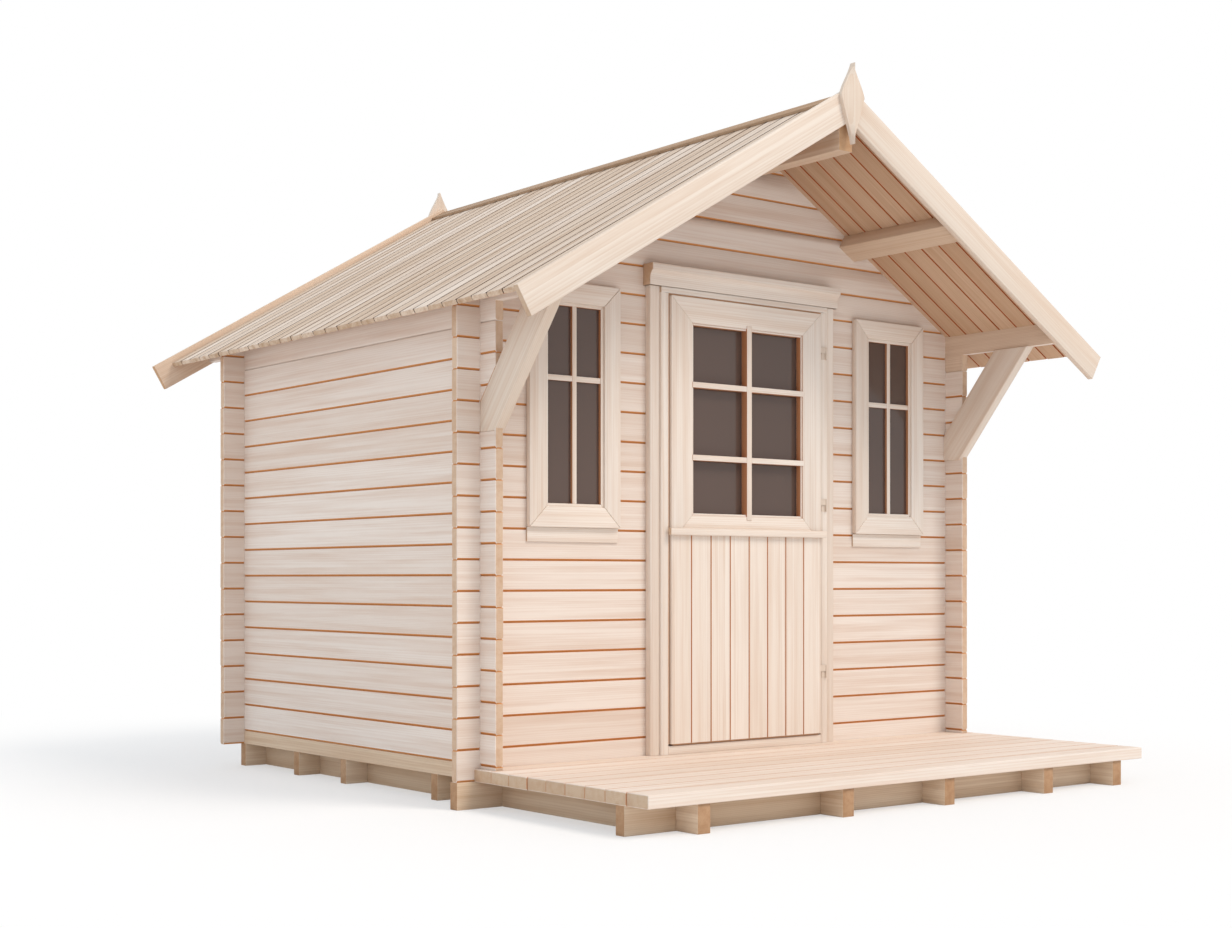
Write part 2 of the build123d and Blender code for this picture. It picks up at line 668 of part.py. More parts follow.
def make_hinges():
    """Lower knuckles with pins on the jamb, and upper knuckles on cranked straps on the leaf."""
    with BuildPart() as hinge_pins:
        for height in HINGE_HEIGHTS:
            barrel(HINGE_BARREL_RADIUS, height, HINGE_KNUCKLE)
            barrel(HINGE_PIN_RADIUS, height, 2 * HINGE_KNUCKLE - HINGE_PIN_END_GAP)
            block(
                (JAMB_INNER + HINGE_PLATE_INSET, JAMB_FRONT - HINGE_PLATE, height),
                (JAMB_OUTER - HINGE_PLATE_INSET, JAMB_FRONT, height + HINGE_KNUCKLE),
            )
    finish(hinge_pins, "hinge_pins")

    half_plate = HINGE_PLATE / 2
    with BuildPart() as hinge_straps:
        for height in HINGE_HEIGHTS:
            low = height + HINGE_KNUCKLE + HINGE_KNUCKLE_GAP
            high = height + 2 * HINGE_KNUCKLE
            barrel(HINGE_BARREL_RADIUS, low, high - low)
            block((HALF_LEAF, HINGE_Y - half_plate, low), (HINGE_X, HINGE_Y + half_plate, high))
            block(
                (HALF_LEAF, HINGE_Y - half_plate, low),
                (HALF_LEAF + HINGE_PLATE, HINGE_Y + HINGE_STRAP_DEPTH, high),
            )
            bore = HINGE_PIN_RADIUS + HINGE_PIN_CLEARANCE
            barrel(bore, low, high - HINGE_PIN_END_GAP - low + 1, Mode.SUBTRACT)
    finish(hinge_straps, "hinge_straps")


os.makedirs("parts", exist_ok=True)
make_base()
make_deck()
for shed_side in (LEFT, RIGHT):
    make_side(shed_side)
    make_front_wall(shed_side)
    make_window(shed_side)
make_back_wall()
make_gable("front_gable", FRONT_FACE, HEAD_TOP)
make_gable("back_gable", BACK_INNER_FACE, GABLE_BASE)
make_roof()
make_door_surround()
make_door_leaf()
make_hinges()
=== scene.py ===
"""A timber garden shed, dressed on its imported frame: logs, boards, joinery, finishes and a plain studio."""

import logging
from collections.abc import Sequence
from dataclasses import dataclass
from enum import Enum
from math import ceil, cos, radians, sin, tan

import bmesh
import bpy
import numpy as np
from mathutils import Matrix, Vector


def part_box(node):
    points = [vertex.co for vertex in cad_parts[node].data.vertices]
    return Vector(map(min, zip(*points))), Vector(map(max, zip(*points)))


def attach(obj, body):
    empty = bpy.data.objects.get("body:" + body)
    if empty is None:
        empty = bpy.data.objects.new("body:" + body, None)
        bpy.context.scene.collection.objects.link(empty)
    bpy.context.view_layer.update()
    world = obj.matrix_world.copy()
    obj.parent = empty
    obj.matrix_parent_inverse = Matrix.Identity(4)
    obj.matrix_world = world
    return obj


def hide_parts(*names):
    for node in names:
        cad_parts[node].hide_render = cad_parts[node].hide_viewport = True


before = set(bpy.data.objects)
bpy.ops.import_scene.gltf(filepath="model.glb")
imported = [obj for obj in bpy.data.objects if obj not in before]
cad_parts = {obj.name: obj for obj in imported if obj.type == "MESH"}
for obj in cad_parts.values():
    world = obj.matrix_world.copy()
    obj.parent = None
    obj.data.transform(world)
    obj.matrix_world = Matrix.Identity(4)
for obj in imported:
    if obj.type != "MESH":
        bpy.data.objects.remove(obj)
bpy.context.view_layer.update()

log = logging.getLogger("garden_shed")

Outline = Sequence[tuple[float, float]]
Axes = tuple[Vector, Vector, Vector]

# Sizes in metres that several sub-assemblies share, while each class holds its own
AIR_GAP = 0.0002
MITRE_GAP = 0.0003
SOFT_EDGE = 0.0015
ROOF_PITCH = radians(30.5)

# How near two vertices of a frame node are when they count as one, and how near one is that counts as cut
WELD = 0.00002
CUT_WITHIN = 0.000001

# How flat an edge is that is dissolved, and how sharp an edge is that is rounded or that shows
FLAT_WITHIN = radians(1)
ROUNDED_FROM = radians(25)
SHARP_FROM = radians(38)

# How much of a face's normal lies along a direction, from 0 to 1: above it, a face is a lone board's end,
# an end in a row, or one that looks that way, and below it across a wall, a reveal beside a pane. The last
# number is the share of a joint's painted shade that a reveal takes
BOARD_END_FROM = 0.8
ROW_END_FROM = 0.9
FACING_FROM = 0.5
REVEAL_BELOW = 0.3
REVEAL_SHADE = 0.9

X_AXIS, Y_AXIS, Z_AXIS = Vector((1, 0, 0)), Vector((0, 1, 0)), Vector((0, 0, 1))
STILL = Vector((0, 0, 0))
WORLD_AXES: Axes = (X_AXIS, Y_AXIS, Z_AXIS)


class Side(Enum):
    """A side of the shed, seen from the front. Its value is the sign of X there."""

    LEFT = -1
    RIGHT = 1

    @property
    def word(self) -> str:
        """The side's word in the names of nodes."""
        return self.name.lower()

    def span(self, near: float, far: float) -> tuple[float, float]:
        """Two distances from the middle as X values on this side, the lower one first."""
        return tuple(sorted((self.value * near, self.value * far)))


def linear(hex_colour: str) -> tuple[float, float, float, float]:
    """Turns an sRGB hex colour into linear light.

    Args:
        hex_colour: Six hex digits after a hash.

    Returns:
        Red, green, blue and a full alpha.
    """
    shares = [int(hex_colour[i : i + 2], 16) / 255 for i in (1, 3, 5)]
    red, green, blue = [s / 12.92 if s <= 0.04045 else ((s + 0.055) / 1.055) ** 2.4 for s in shares]
    return red, green, blue, 1.0


def add(tree: bpy.types.NodeTree, kind: str, inputs: dict | None = None, **settings) -> bpy.types.Node:
    """Adds a node with its settings, its input values and its links.

    Args:
        tree: The node tree.
        kind: The node's type name.
        inputs: A value or an output socket for each input, by the input's identifier.
        **settings: The node's own properties.

    Returns:
        The new node.
    """
    node = tree.nodes.new(kind)
    for name, value in settings.items():
        setattr(node, name, value)
    sockets = {socket.identifier: socket for socket in node.inputs}
    for name, value in (inputs or {}).items():
        if isinstance(value, bpy.types.NodeSocket):
            tree.links.new(value, sockets[name])
        else:
            sockets[name].default_value = value
    return node


def blank_material(name: str) -> bpy.types.Material:
    """Makes a material with an empty node tree."""
    material = bpy.data.materials.new(name)
    material.use_nodes = True
    material.node_tree.nodes.clear()
    return material


@dataclass(frozen=True)
class Timber:
    """A planed or sawn softwood finish. Its grain follows each board's own length.

    Every timber piece carries four attributes: grain, the place within its board in metres, and board,
    end and seam, which are a random share for each board, a mark on cut ends, and a mark on faces in a
    joint and beside a pane, where painted shade and warm bounce light are laid in the seam colour.
    The figure is drawn in cycles for each metre along, across and through a board. Streaks come out some
    3 cm wide and fibres about 2 mm, which is coarser than real ones so that they show.
    """

    name: str
    pale: str
    deep: str
    late_wood: str
    end_grain: str
    seam: str
    ring_mm: float = 6.0
    ring_share: float = 0.4
    streak_share: float = 0.34
    roughness: float = 0.62
    relief_mm: float = 0.12
    ring_drift: tuple[float, float, float] = (0.05, 1.0, 1.0)
    streaks: tuple[float, float, float] = (1.1, 34.0, 34.0)
    fibres: tuple[float, float, float] = (7.0, 480.0, 480.0)
    trunk_reach: tuple[float, float, float] = (19.0, 0.14, 0.06)
    trunk_start: tuple[float, float, float] = (0.0, -0.12, 0.012)

    def material(self) -> bpy.types.Material:
        """Builds the finish.

        Returns:
            The material, which reads only the piece's own attributes.
        """
        material = blank_material(self.name)
        tree = material.node_tree
        grain = add(tree, "ShaderNodeAttribute", attribute_name="grain").outputs["Vector"]
        board, end, seam = [
            add(tree, "ShaderNodeAttribute", attribute_name=name).outputs["Fac"]
            for name in ("board", "end", "seam")
        ]

        # Each board comes from its own place in a trunk: up to 12 cm beside the pith and 1 to 7 cm over it
        seed = add(tree, "ShaderNodeMath", {"Value": board, "Value_001": 977.0}, operation="MULTIPLY")
        chance = add(tree, "ShaderNodeTexWhiteNoise", {"W": seed.outputs[0]}, noise_dimensions="1D").outputs
        inputs = {"Vector": chance["Color"], "Vector_001": self.trunk_reach, "Vector_002": self.trunk_start}
        shift = add(tree, "ShaderNodeVectorMath", inputs, operation="MULTIPLY_ADD").outputs[0]
        inputs = {"Vector": grain, "Vector_001": shift}
        place = add(tree, "ShaderNodeVectorMath", inputs, operation="ADD").outputs[0]

        stretched = []
        for scale in (self.ring_drift, self.streaks, self.fibres):
            inputs = {"Vector": place, "Vector_001": scale}
            stretched.append(add(tree, "ShaderNodeVectorMath", inputs, operation="MULTIPLY").outputs[0])
        ring_place, streak_place, fibre_place = stretched
        # The wave texture's own period is 0.314 m
        inputs = {"Vector": ring_place, "Scale": 314.0 / self.ring_mm, "Distortion": 5.0}
        inputs |= {"Detail": 2.0, "Detail Scale": 0.14, "Detail Roughness": 0.5}
        settings = {"wave_type": "RINGS", "rings_direction": "X", "wave_profile": "SAW"}
        rings = add(tree, "ShaderNodeTexWave", inputs, **settings).outputs["Fac"]
        inputs = {"Vector": streak_place, "Scale": 1.0, "Detail": 3.0, "Roughness": 0.6}
        streaks = add(tree, "ShaderNodeTexNoise", inputs).outputs["Fac"]
        inputs = {"Vector": fibre_place, "Scale": 1.0, "Detail": 2.0, "Roughness": 0.5}
        fibres = add(tree, "ShaderNodeTexNoise", inputs).outputs["Fac"]

        ranges = (
            (streaks, 0.42, 0.72, 0.0, self.streak_share),
            (rings, 0.35, 1.0, 0.0, self.ring_share),
            (fibres, 0.3, 0.7, 0.25, 1.0),
        )
        names = ("Value", "From Min", "From Max", "To Min", "To Max")
        streak_amount, ring_amount, fibre_amount = [
            add(tree, "ShaderNodeMapRange", dict(zip(names, values))).outputs[0] for values in ranges
        ]
        inputs = {"Value": ring_amount, "Value_001": fibre_amount}
        figure_amount = add(tree, "ShaderNodeMath", inputs, operation="MULTIPLY").outputs[0]

        colour = linear(self.pale)
        layers = (
            (chance["Value"], self.deep, "MIX"),
            (streak_amount, self.late_wood, "MIX"),
            (figure_amount, self.late_wood, "MIX"),
            (end, self.end_grain, "MULTIPLY"),
            # Faces in joints and beside panes take the seam colour: painted shade and warm bounce light
            (seam, self.seam, "MIX"),
        )
        for amount, tone, blend in layers:
            inputs = {"Factor_Float": amount, "A_Color": colour, "B_Color": linear(tone)}
            colour = add(tree, "ShaderNodeMix", inputs, data_type="RGBA", blend_type=blend).outputs[2]

        inputs = {"Value": rings, "Value_001": fibres}
        height = add(tree, "ShaderNodeMath", inputs, operation="ADD").outputs[0]
        inputs = {"Height": height, "Strength": 0.35, "Distance": self.relief_mm / 1000}
        bump = add(tree, "ShaderNodeBump", inputs).outputs[0]
        inputs = {"Base Color": colour, "Roughness": self.roughness, "IOR": 1.45, "Normal": bump}
        # Dry bare wood shows hardly any sheen, even at a low angle
        inputs["Specular IOR Level"] = 0.2
        shader = add(tree, "ShaderNodeBsdfPrincipled", inputs).outputs[0]
        add(tree, "ShaderNodeOutputMaterial", {"Surface": shader})
        return material


@dataclass(frozen=True)
class Pane:
    """Clear float glass before a dark room: its warm brown-grey is painted shade of the room behind it, under
    a soft polish.
    """

    name: str
    colour: str
    wave_colour: str
    see_through: float

    def material(self) -> bpy.types.Material:
        """Builds the finish.

        Returns:
            The material, part of whose light passes straight through.
        """
        material = blank_material(self.name)
        tree = material.node_tree
        place = add(tree, "ShaderNodeTexCoord").outputs["Object"]
        # Faint vertical waves some 25 cm apart: their darker colour is painted shade of the room behind, and
        # their bump is the glass's own waviness
        inputs = {"Vector": place, "Vector_001": (4.0, 4.0, 0.5)}
        stretched = add(tree, "ShaderNodeVectorMath", inputs, operation="MULTIPLY").outputs[0]
        inputs = {"Vector": stretched, "Scale": 1.0, "Detail": 1.0}
        band_noise = add(tree, "ShaderNodeTexNoise", inputs).outputs["Fac"]
        amount = add(tree, "ShaderNodeMapRange", {"Value": band_noise, "To Max": 0.35}).outputs[0]
        inputs = {"Factor_Float": amount, "A_Color": linear(self.colour), "B_Color": linear(self.wave_colour)}
        tint = add(tree, "ShaderNodeMix", inputs, data_type="RGBA").outputs[2]
        bump = add(tree, "ShaderNodeBump", {"Height": band_noise, "Strength": 0.05, "Distance": 0.0005}).outputs[0]
        inputs = {"Base Color": tint, "Roughness": 0.09, "IOR": 1.45, "Normal": bump}
        inputs["Alpha"] = 1.0 - self.see_through
        shader = add(tree, "ShaderNodeBsdfPrincipled", inputs).outputs[0]
        add(tree, "ShaderNodeOutputMaterial", {"Surface": shader})
        return material


@dataclass(frozen=True)
class LacqueredSteel:
    """Steel hinges lacquered in the pale tone of the timber, with the lacquer's faint orange peel."""

    name: str
    colour: str
    shade: str

    def material(self) -> bpy.types.Material:
        """Builds the finish.

        Returns:
            The material, patterned on the piece's own coordinates.
        """
        material = blank_material(self.name)
        tree = material.node_tree
        place = add(tree, "ShaderNodeTexCoord").outputs["Object"]
        # The peel's dimples are about 1 mm across
        inputs = {"Vector": place, "Scale": 900.0, "Detail": 2.0}
        peel = add(tree, "ShaderNodeTexNoise", inputs).outputs["Fac"]
        inputs = {"Factor_Float": peel, "A_Color": linear(self.colour), "B_Color": linear(self.shade)}
        colour = add(tree, "ShaderNodeMix", inputs, data_type="RGBA").outputs[2]
        bump = add(tree, "ShaderNodeBump", {"Height": peel, "Strength": 0.2, "Distance": 0.0001}).outputs[0]
        inputs = {"Base Color": colour, "Roughness": 0.42, "Normal": bump}
        shader = add(tree, "ShaderNodeBsdfPrincipled", inputs).outputs[0]
        add(tree, "ShaderNodeOutputMaterial", {"Surface": shader})
        return material


# Each finish by the piece that has it. A timber's colours are pale, deep, late wood, end grain and seam
# shade, which is painted shade and bounce light in its joints
FINISHES = {
    # Spruce from the saw: fuzzy, tan and strongly streaked
    "foundation_timber": Timber(
        "sawn_spruce_foundation", "#E6D0B8", "#D8BFA4", "#B8916C", "#D2BDAA", "#A87C58", streak_share=0.5
    ),
    # Spruce indoors: planed, dry and honey-coloured
    "floor_board": Timber("planed_spruce_floor", "#E6D2BA", "#D9C2A6", "#B98F66", "#EBDAC4", "#A06A44"),
    # Freshly planed spruce that daylight has bleached: pale, with thin rings
    "deck_board": Timber(
        "planed_spruce_deck", "#EDE2D8", "#E4D6CA", "#CDA98B", "#E0D0BC", "#C08A66", streak_share=0.4
    ),
    # Freshly planed logs: nearly white, with faint rings; the warm orange in the groove between them is
    # painted shade and bounce light
    "wall_log": Timber(
        "planed_spruce_logs", "#EDE1D7", "#E3D4C8", "#C6A084", "#E8D6C2", "#D09058", 6.0, 0.26, 0.38
    ),
    # Planed beams: a little warmer and darker than the logs. On the eave logs' inner faces and on the back
    # barge boards, this darker tone is painted shade
    "roof_timber": Timber(
        "planed_spruce_roof_timber", "#DFC8B3", "#D2B8A0", "#B48A67", "#E8D4BC", "#A9683E"
    ),
    # The roof boards' undersides: a warmer, darker tan than their tops, which is partly painted shade under
    # the eaves, and painted brown shade in their joints
    "soffit": Timber(
        "planed_spruce_soffit", "#D6B79C", "#CBAA8D", "#A97B56", "#DCC2A6", "#A8582F", streak_share=0.3
    ),
    # The roof boards' tops: dry and greyed, each board of its own tone; the dark brown in their grooves is
    # painted shade
    "roof_board": Timber(
        "weathered_spruce_roof", "#E9DCD0", "#D3C0AD", "#AC8B6C", "#F4EADF", "#4A3222", 11.0, 0.35, 0.75
    ),
    # The ridge's capping: the same wood, browner
    "ridge_capping": Timber(
        "weathered_spruce_capping", "#C2A78E", "#B2957A", "#8C6C50", "#D6C3AC", "#6E4F38", 8.0, 0.4, 0.6
    ),
    # Barge boards, finials and braces: smooth and pale
    "trim_board": Timber(
        "planed_spruce_trim", "#E9DCCF", "#DFCFBF", "#C9A78A", "#DCCDBD", "#B98560", streak_share=0.4
    ),
    # Door and windows: the palest, sanded wood
    "joinery": Timber(
        "planed_spruce_joinery", "#EFE5DB", "#E8DBCF", "#CBA98C", "#E4D2BE", "#BE7A48", streak_share=0.36
    ),
    # Thin strips in a warm tan, which close the gap round the leaf: their tan is painted shade of that gap
    "draught_strip": Timber("stained_draught_strip", "#C79F80", "#BD9473", "#A07350", "#D8C2AC", "#8F6242"),
    # The glass's brown-grey and its darker bands are painted shade of the dark room behind it
    "pane": Pane("float_glass", "#65534B", "#4E4039", 0.12),
    "hinge_steel": LacqueredSteel("cream_lacquered_steel", "#DCCBBB", "#D3C0AE"),
}


class Finishes:
    """The shed's materials, each built once."""

    def __init__(self) -> None:
        """Builds every material."""
        self.of = {name: finish.material() for name, finish in FINISHES.items()}


def points_of(mesh: bpy.types.Mesh) -> np.ndarray:
    """The places of a mesh's vertices, one row each."""
    flat = np.empty(len(mesh.vertices) * 3)
    mesh.vertices.foreach_get("co", flat)
    return flat.reshape(-1, 3)


def faces_of(mesh: bpy.types.Mesh) -> tuple[np.ndarray, np.ndarray, np.ndarray, np.ndarray]:
    """Reads what the marks are worked out from.

    Args:
        mesh: The mesh.

    Returns:
        The centre and the normal of each face, and the vertex and the face of each corner.
    """
    centres = np.array([face.center for face in mesh.polygons]).reshape(-1, 3)
    normals = np.array([face.normal for face in mesh.polygons]).reshape(-1, 3)
    corner_vertices = np.array([loop.vertex_index for loop in mesh.loops])
    corner_faces = np.repeat(np.arange(len(mesh.polygons)), [face.loop_total for face in mesh.polygons])
    return centres, normals, corner_vertices, corner_faces


def store(mesh: bpy.types.Mesh, name: str, values: np.ndarray) -> None:
    """Stores a vector for each corner, or a number for each face.

    Args:
        mesh: The mesh that gets the attribute.
        name: The attribute's name.
        values: Rows of three for corners, or single numbers for faces.
    """
    old = mesh.attributes.get(name)
    if old is not None:
        mesh.attributes.remove(old)
    vector = values.ndim == 2
    layer = mesh.attributes.new(name, "FLOAT_VECTOR" if vector else "FLOAT", "CORNER" if vector else "FACE")
    layer.data.foreach_set("vector" if vector else "value", values.astype(np.float32).ravel())


def mark_islands(piece: bpy.types.Object, seed: int, axes: Axes = WORLD_AXES) -> None:
    """Marks each separate board of a piece, with its grain along its longest side.

    Args:
        piece: The piece, whose boards don't share vertices.
        seed: Fixes the boards' random shares.
        axes: The directions that the boards' sides follow.
    """
    mesh = piece.data
    points = points_of(mesh) @ np.array(axes).T
    centres, normals, corner_vertices, corner_faces = faces_of(mesh)
    normals = normals @ np.array(axes).T
    island = list(range(len(mesh.vertices)))

    def root(vertex: int) -> int:
        """The first vertex of the island that a vertex is on."""
        while island[vertex] != vertex:
            island[vertex] = island[island[vertex]]
            vertex = island[vertex]
        return vertex

    for edge in mesh.edges:
        first, second = root(edge.vertices[0]), root(edge.vertices[1])
        island[max(first, second)] = min(first, second)
    roots = np.array([root(vertex) for vertex in range(len(island))])
    face_roots = np.array([roots[face.vertices[0]] for face in mesh.polygons])
    random = np.random.default_rng(seed)
    board, end = np.zeros(len(centres)), np.zeros(len(centres))
    grain = np.zeros((len(corner_vertices), 3))
    for first in sorted(set(roots)):
        share = random.random()
        own = points[roots == first]
        order = np.argsort(-np.ptp(own, axis=0))
        faces = face_roots == first
        corners = faces[corner_faces]
        board[faces] = share
        end[faces] = np.abs(normals[faces][:, order[0]]) > BOARD_END_FROM
        grain[corners] = (points[corner_vertices[corners]] - own.min(0))[:, order]
    for name, values in (("grain", grain), ("board", board), ("end", end), ("seam", np.zeros(len(centres)))):
        store(mesh, name, values)


@dataclass(frozen=True)
class Courses:
    """How a row of boards or logs lies: its length runs along X of its place, and the next lies a step on."""

    place: Matrix
    step: Vector
    count: int
    seed: int
    outer_margin: float = 0.003

    def mark(self, piece: bpy.types.Object) -> None:
        """Marks a row's boards, and the faces in the joints between them, where shade is painted.

        Args:
            piece: The row, in its place.
        """
        mesh = piece.data
        turn = self.place.to_3x3()
        along = np.array(turn @ X_AXIS)
        across = np.array(turn @ self.step.normalized())
        depth = np.cross(along, across)
        origin, pitch = np.array(self.place.translation), self.step.length
        points = points_of(mesh)
        centres, normals, corner_vertices, corner_faces = faces_of(mesh)
        reach = (centres - origin) @ across
        order = np.floor(reach / pitch).astype(int)
        shares = np.random.default_rng(self.seed).random(self.count)
        relative = points[corner_vertices] - origin - np.outer(order[corner_faces] * pitch, across)
        inside = (reach > self.outer_margin) & (reach < self.count * pitch - self.outer_margin)
        store(mesh, "grain", np.column_stack([relative @ along, relative @ across, relative @ depth]))
        store(mesh, "board", shares[np.clip(order, 0, self.count - 1)])
        store(mesh, "end", (np.abs(normals @ along) > ROW_END_FROM).astype(float))
        # Faces in the joints are marked for painted shade and bounce light
        store(mesh, "seam", ((np.abs(normals @ across) > FACING_FROM) & inside).astype(float))


@dataclass(frozen=True)
class LogProfile:
    """A planed wall log: what it covers, and the bevels that make a V groove between two of them."""

    pitch: float = 0.115
    thickness: float = 0.034
    groove_rise: float = 0.007
    groove_drop: float = 0.0015
    groove_depth: float = 0.006
    end_chamfer: float = 0.0022
    sawn_chamfer: float = 0.001

    def upper_half(self, top: float) -> Outline:
        """The corners of the section's upper bevels, from the outer face to the inner one."""
        shoulder = self.thickness - self.groove_depth
        low = top - self.groove_drop
        return (self.thickness, low), (shoulder, top), (self.groove_depth, top), (0, low)

    def section(self) -> Outline:
        """A whole log's section: a bevel under it and a small one on it, on both of its faces.

        Returns:
            Depth and height of each corner.
        """
        rise, depth = self.groove_rise, self.groove_depth
        lower = (0, rise), (depth, 0), (self.thickness - depth, 0), (self.thickness, rise)
        return *lower, *self.upper_half(self.pitch - AIR_GAP)

    def half_section(self) -> Outline:
        """The section of the half log that a side wall starts on, square below.

        Returns:
            Depth and height of each corner.
        """
        return (0, 0), (self.thickness, 0), *self.upper_half(self.pitch / 2 - AIR_GAP)


def board_section(width: float, thickness: float, under: float, over: float, gap: float) -> Outline:
    """A board's section, with a bevel on each of its four edges.

    Args:
        width: What each board covers, its gap included.
        thickness: The board's thickness.
        under: How far the lower bevels reach.
        over: How far the upper bevels reach.
        gap: The open joint between two boards.

    Returns:
        Width and height of each corner.
    """
    low, high, shoulder = gap / 2, width - gap / 2, thickness - over
    lower = (low + under, 0), (high - under, 0), (high, under)
    upper = (high, shoulder), (high - over, thickness), (low + over, thickness), (low, shoulder)
    return *lower, *upper, (low, under)


def close_sides(
    work: bmesh.types.BMesh, first: list[bmesh.types.BMVert], second: list[bmesh.types.BMVert]
) -> None:
    """Adds the faces between two rings of as many vertices."""
    for i in range(len(first)):
        j = (i + 1) % len(first)
        work.faces.new((first[i], first[j], second[j], second[i]))


def in_scene(name: str, work: bmesh.types.BMesh) -> bpy.types.Object:
    """Turns mesh work into an object in the scene, at the origin.

    Args:
        name: The object's name.
        work: The mesh work, which is freed.

    Returns:
        The object.
    """
    mesh = bpy.data.meshes.new(name)
    work.to_mesh(mesh)
    work.free()
    made = bpy.data.objects.new(name, mesh)
    bpy.context.scene.collection.objects.link(made)
    return made


def join(work: bmesh.types.BMesh, other: bmesh.types.BMesh) -> None:
    """Adds another solid to mesh work, and frees it."""
    scratch = bpy.data.meshes.new("scratch")
    other.to_mesh(scratch)
    other.free()
    work.from_mesh(scratch)
    bpy.data.meshes.remove(scratch)


def stock(name: str, section: Outline, length: float, chamfer: float, mitre: float = 0.0) -> bpy.types.Object:
    """One length of board or log, along X from the origin, with its ends lightly chamfered.

    Args:
        name: The object's name.
        section: Corners of the section, across and up.
        length: The finished length.
        chamfer: How far the ends' chamfers reach.
        mitre: How much further back the start is cut at the bottom than at the top.

    Returns:
        The object that a row repeats.
    """
    lows, highs = [min(values) for values in zip(*section)], [max(values) for values in zip(*section)]
    centre = [(low + high) / 2 for low, high in zip(lows, highs)]
    keep = [1 - 2 * chamfer / (high - low) for low, high in zip(lows, highs)]
    shrunk = [tuple(centre[i] + (corner[i] - centre[i]) * keep[i] for i in (0, 1)) for corner in section]
    work = bmesh.new()
    rings = []
    for x, ring in ((0, shrunk), (chamfer, section), (length - chamfer, section), (length, shrunk)):
        lean = mitre if x <= chamfer else 0
        rings.append([work.verts.new((x + lean * (1 - up / highs[1]), across, up)) for across, up in ring])
    for first, second in zip(rings, rings[1:]):
        close_sides(work, first, second)
    work.faces.new(rings[0])
    work.faces.new(rings[-1])
    bmesh.ops.recalc_face_normals(work, faces=work.faces)
    return in_scene(name, work)


class RowTree:
    """The Geometry Nodes tree that lays equal boards or logs side by side."""

    INPUTS = (
        ("Stock", "NodeSocketObject"),
        ("Count", "NodeSocketInt"),
        ("Step", "NodeSocketVector"),
        ("Drift", "NodeSocketVector"),
        ("Seed", "NodeSocketInt"),
        ("Material", "NodeSocketMaterial"),
    )

    def __init__(self) -> None:
        """Builds the tree once, with a named input for each of its sizes."""
        self.tree = bpy.data.node_groups.new("timber_row", "GeometryNodeTree")
        tree = self.tree
        for name, kind in self.INPUTS:
            tree.interface.new_socket(name, in_out="INPUT", socket_type=kind)
        tree.interface.new_socket("Geometry", in_out="OUTPUT", socket_type="NodeSocketGeometry")
        given = add(tree, "NodeGroupInput").outputs
        inputs = {"Count": given["Count"], "Offset": given["Step"]}
        line = add(tree, "GeometryNodeMeshLine", inputs).outputs[0]
        source = add(tree, "GeometryNodeObjectInfo", {"Object": given["Stock"]}).outputs["Geometry"]
        laid = add(tree, "GeometryNodeInstanceOnPoints", {"Points": line, "Instance": source}).outputs[0]
        inputs = {"Vector": given["Drift"], "Scale": -1.0}
        back = add(tree, "ShaderNodeVectorMath", inputs, operation="SCALE").outputs[0]
        order = add(tree, "GeometryNodeInputIndex").outputs[0]
        inputs = {"Min": back, "Max": given["Drift"], "ID": order, "Seed": given["Seed"]}
        drift = add(tree, "FunctionNodeRandomValue", inputs, data_type="FLOAT_VECTOR").outputs[0]
        inputs = {"Instances": laid, "Translation": drift}
        drifted = add(tree, "GeometryNodeTranslateInstances", inputs).outputs[0]
        real = add(tree, "GeometryNodeRealizeInstances", {"Geometry": drifted}).outputs[0]
        inputs = {"Geometry": real, "Material": given["Material"]}
        dressed = add(tree, "GeometryNodeSetMaterial", inputs).outputs[0]
        tree.links.new(dressed, add(tree, "NodeGroupOutput").inputs[0])

    def lay(
        self,
        name: str,
        piece: bpy.types.Object,
        courses: Courses,
        drift: Vector,
        material: bpy.types.Material,
        cutters: Sequence[bpy.types.Object] = (),
    ) -> bpy.types.Object:
        """Lays a row, cuts it and marks its boards.

        Args:
            name: The finished piece's name.
            piece: One length of stock.
            courses: The row's place, step, count and seed.
            drift: How far each board may stray from its place.
            material: The finish.
            cutters: Closed shapes to cut away from the row in its place.

        Returns:
            The row as a plain mesh in its place.
        """
        row = in_scene(name, bmesh.new())
        modifier = row.modifiers.new("row", "NODES")
        modifier.node_group = self.tree
        values = (piece, courses.count, courses.step, drift, courses.seed, material)
        sockets = [item for item in self.tree.interface.items_tree if item.in_out == "INPUT"]
        for socket, value in zip(sockets, values):
            modifier[socket.identifier] = value
        bake(row)
        row.data.transform(courses.place)
        for shape in cutters:
            cut = row.modifiers.new("cut", "BOOLEAN")
            cut.object, cut.operation, cut.solver = shape, "DIFFERENCE", "MANIFOLD"
            bake(row)
        bpy.data.objects.remove(piece)
        row.data.materials.clear()
        row.data.materials.append(material)
        row.data.polygons.foreach_set("material_index", [0] * len(row.data.polygons))
        courses.mark(row)
        return row


def bake(piece: bpy.types.Object) -> None:
    """Turns what a piece's modifiers make into its own plain mesh."""
    bpy.context.view_layer.update()
    graph = bpy.context.evaluated_depsgraph_get()
    mesh = bpy.data.meshes.new_from_object(piece.evaluated_get(graph), depsgraph=graph)
    mesh.name = piece.name
    piece.modifiers.clear()
    piece.data = mesh


def soften(work: bmesh.types.BMesh, reach: float) -> None:
    """Rounds the sharp edges of a solid in two steps.

    Args:
        work: The solid.
        reach: How far the rounding reaches from each edge.
    """
    solid = [edge for edge in work.edges if len(edge.link_faces) == 2]
    sharp = [edge for edge in solid if edge.calc_face_angle(0) > ROUNDED_FROM]
    bmesh.ops.bevel(
        work, geom=sharp, offset=reach, segments=2, profile=0.5, affect="EDGES", clamp_overlap=True
    )


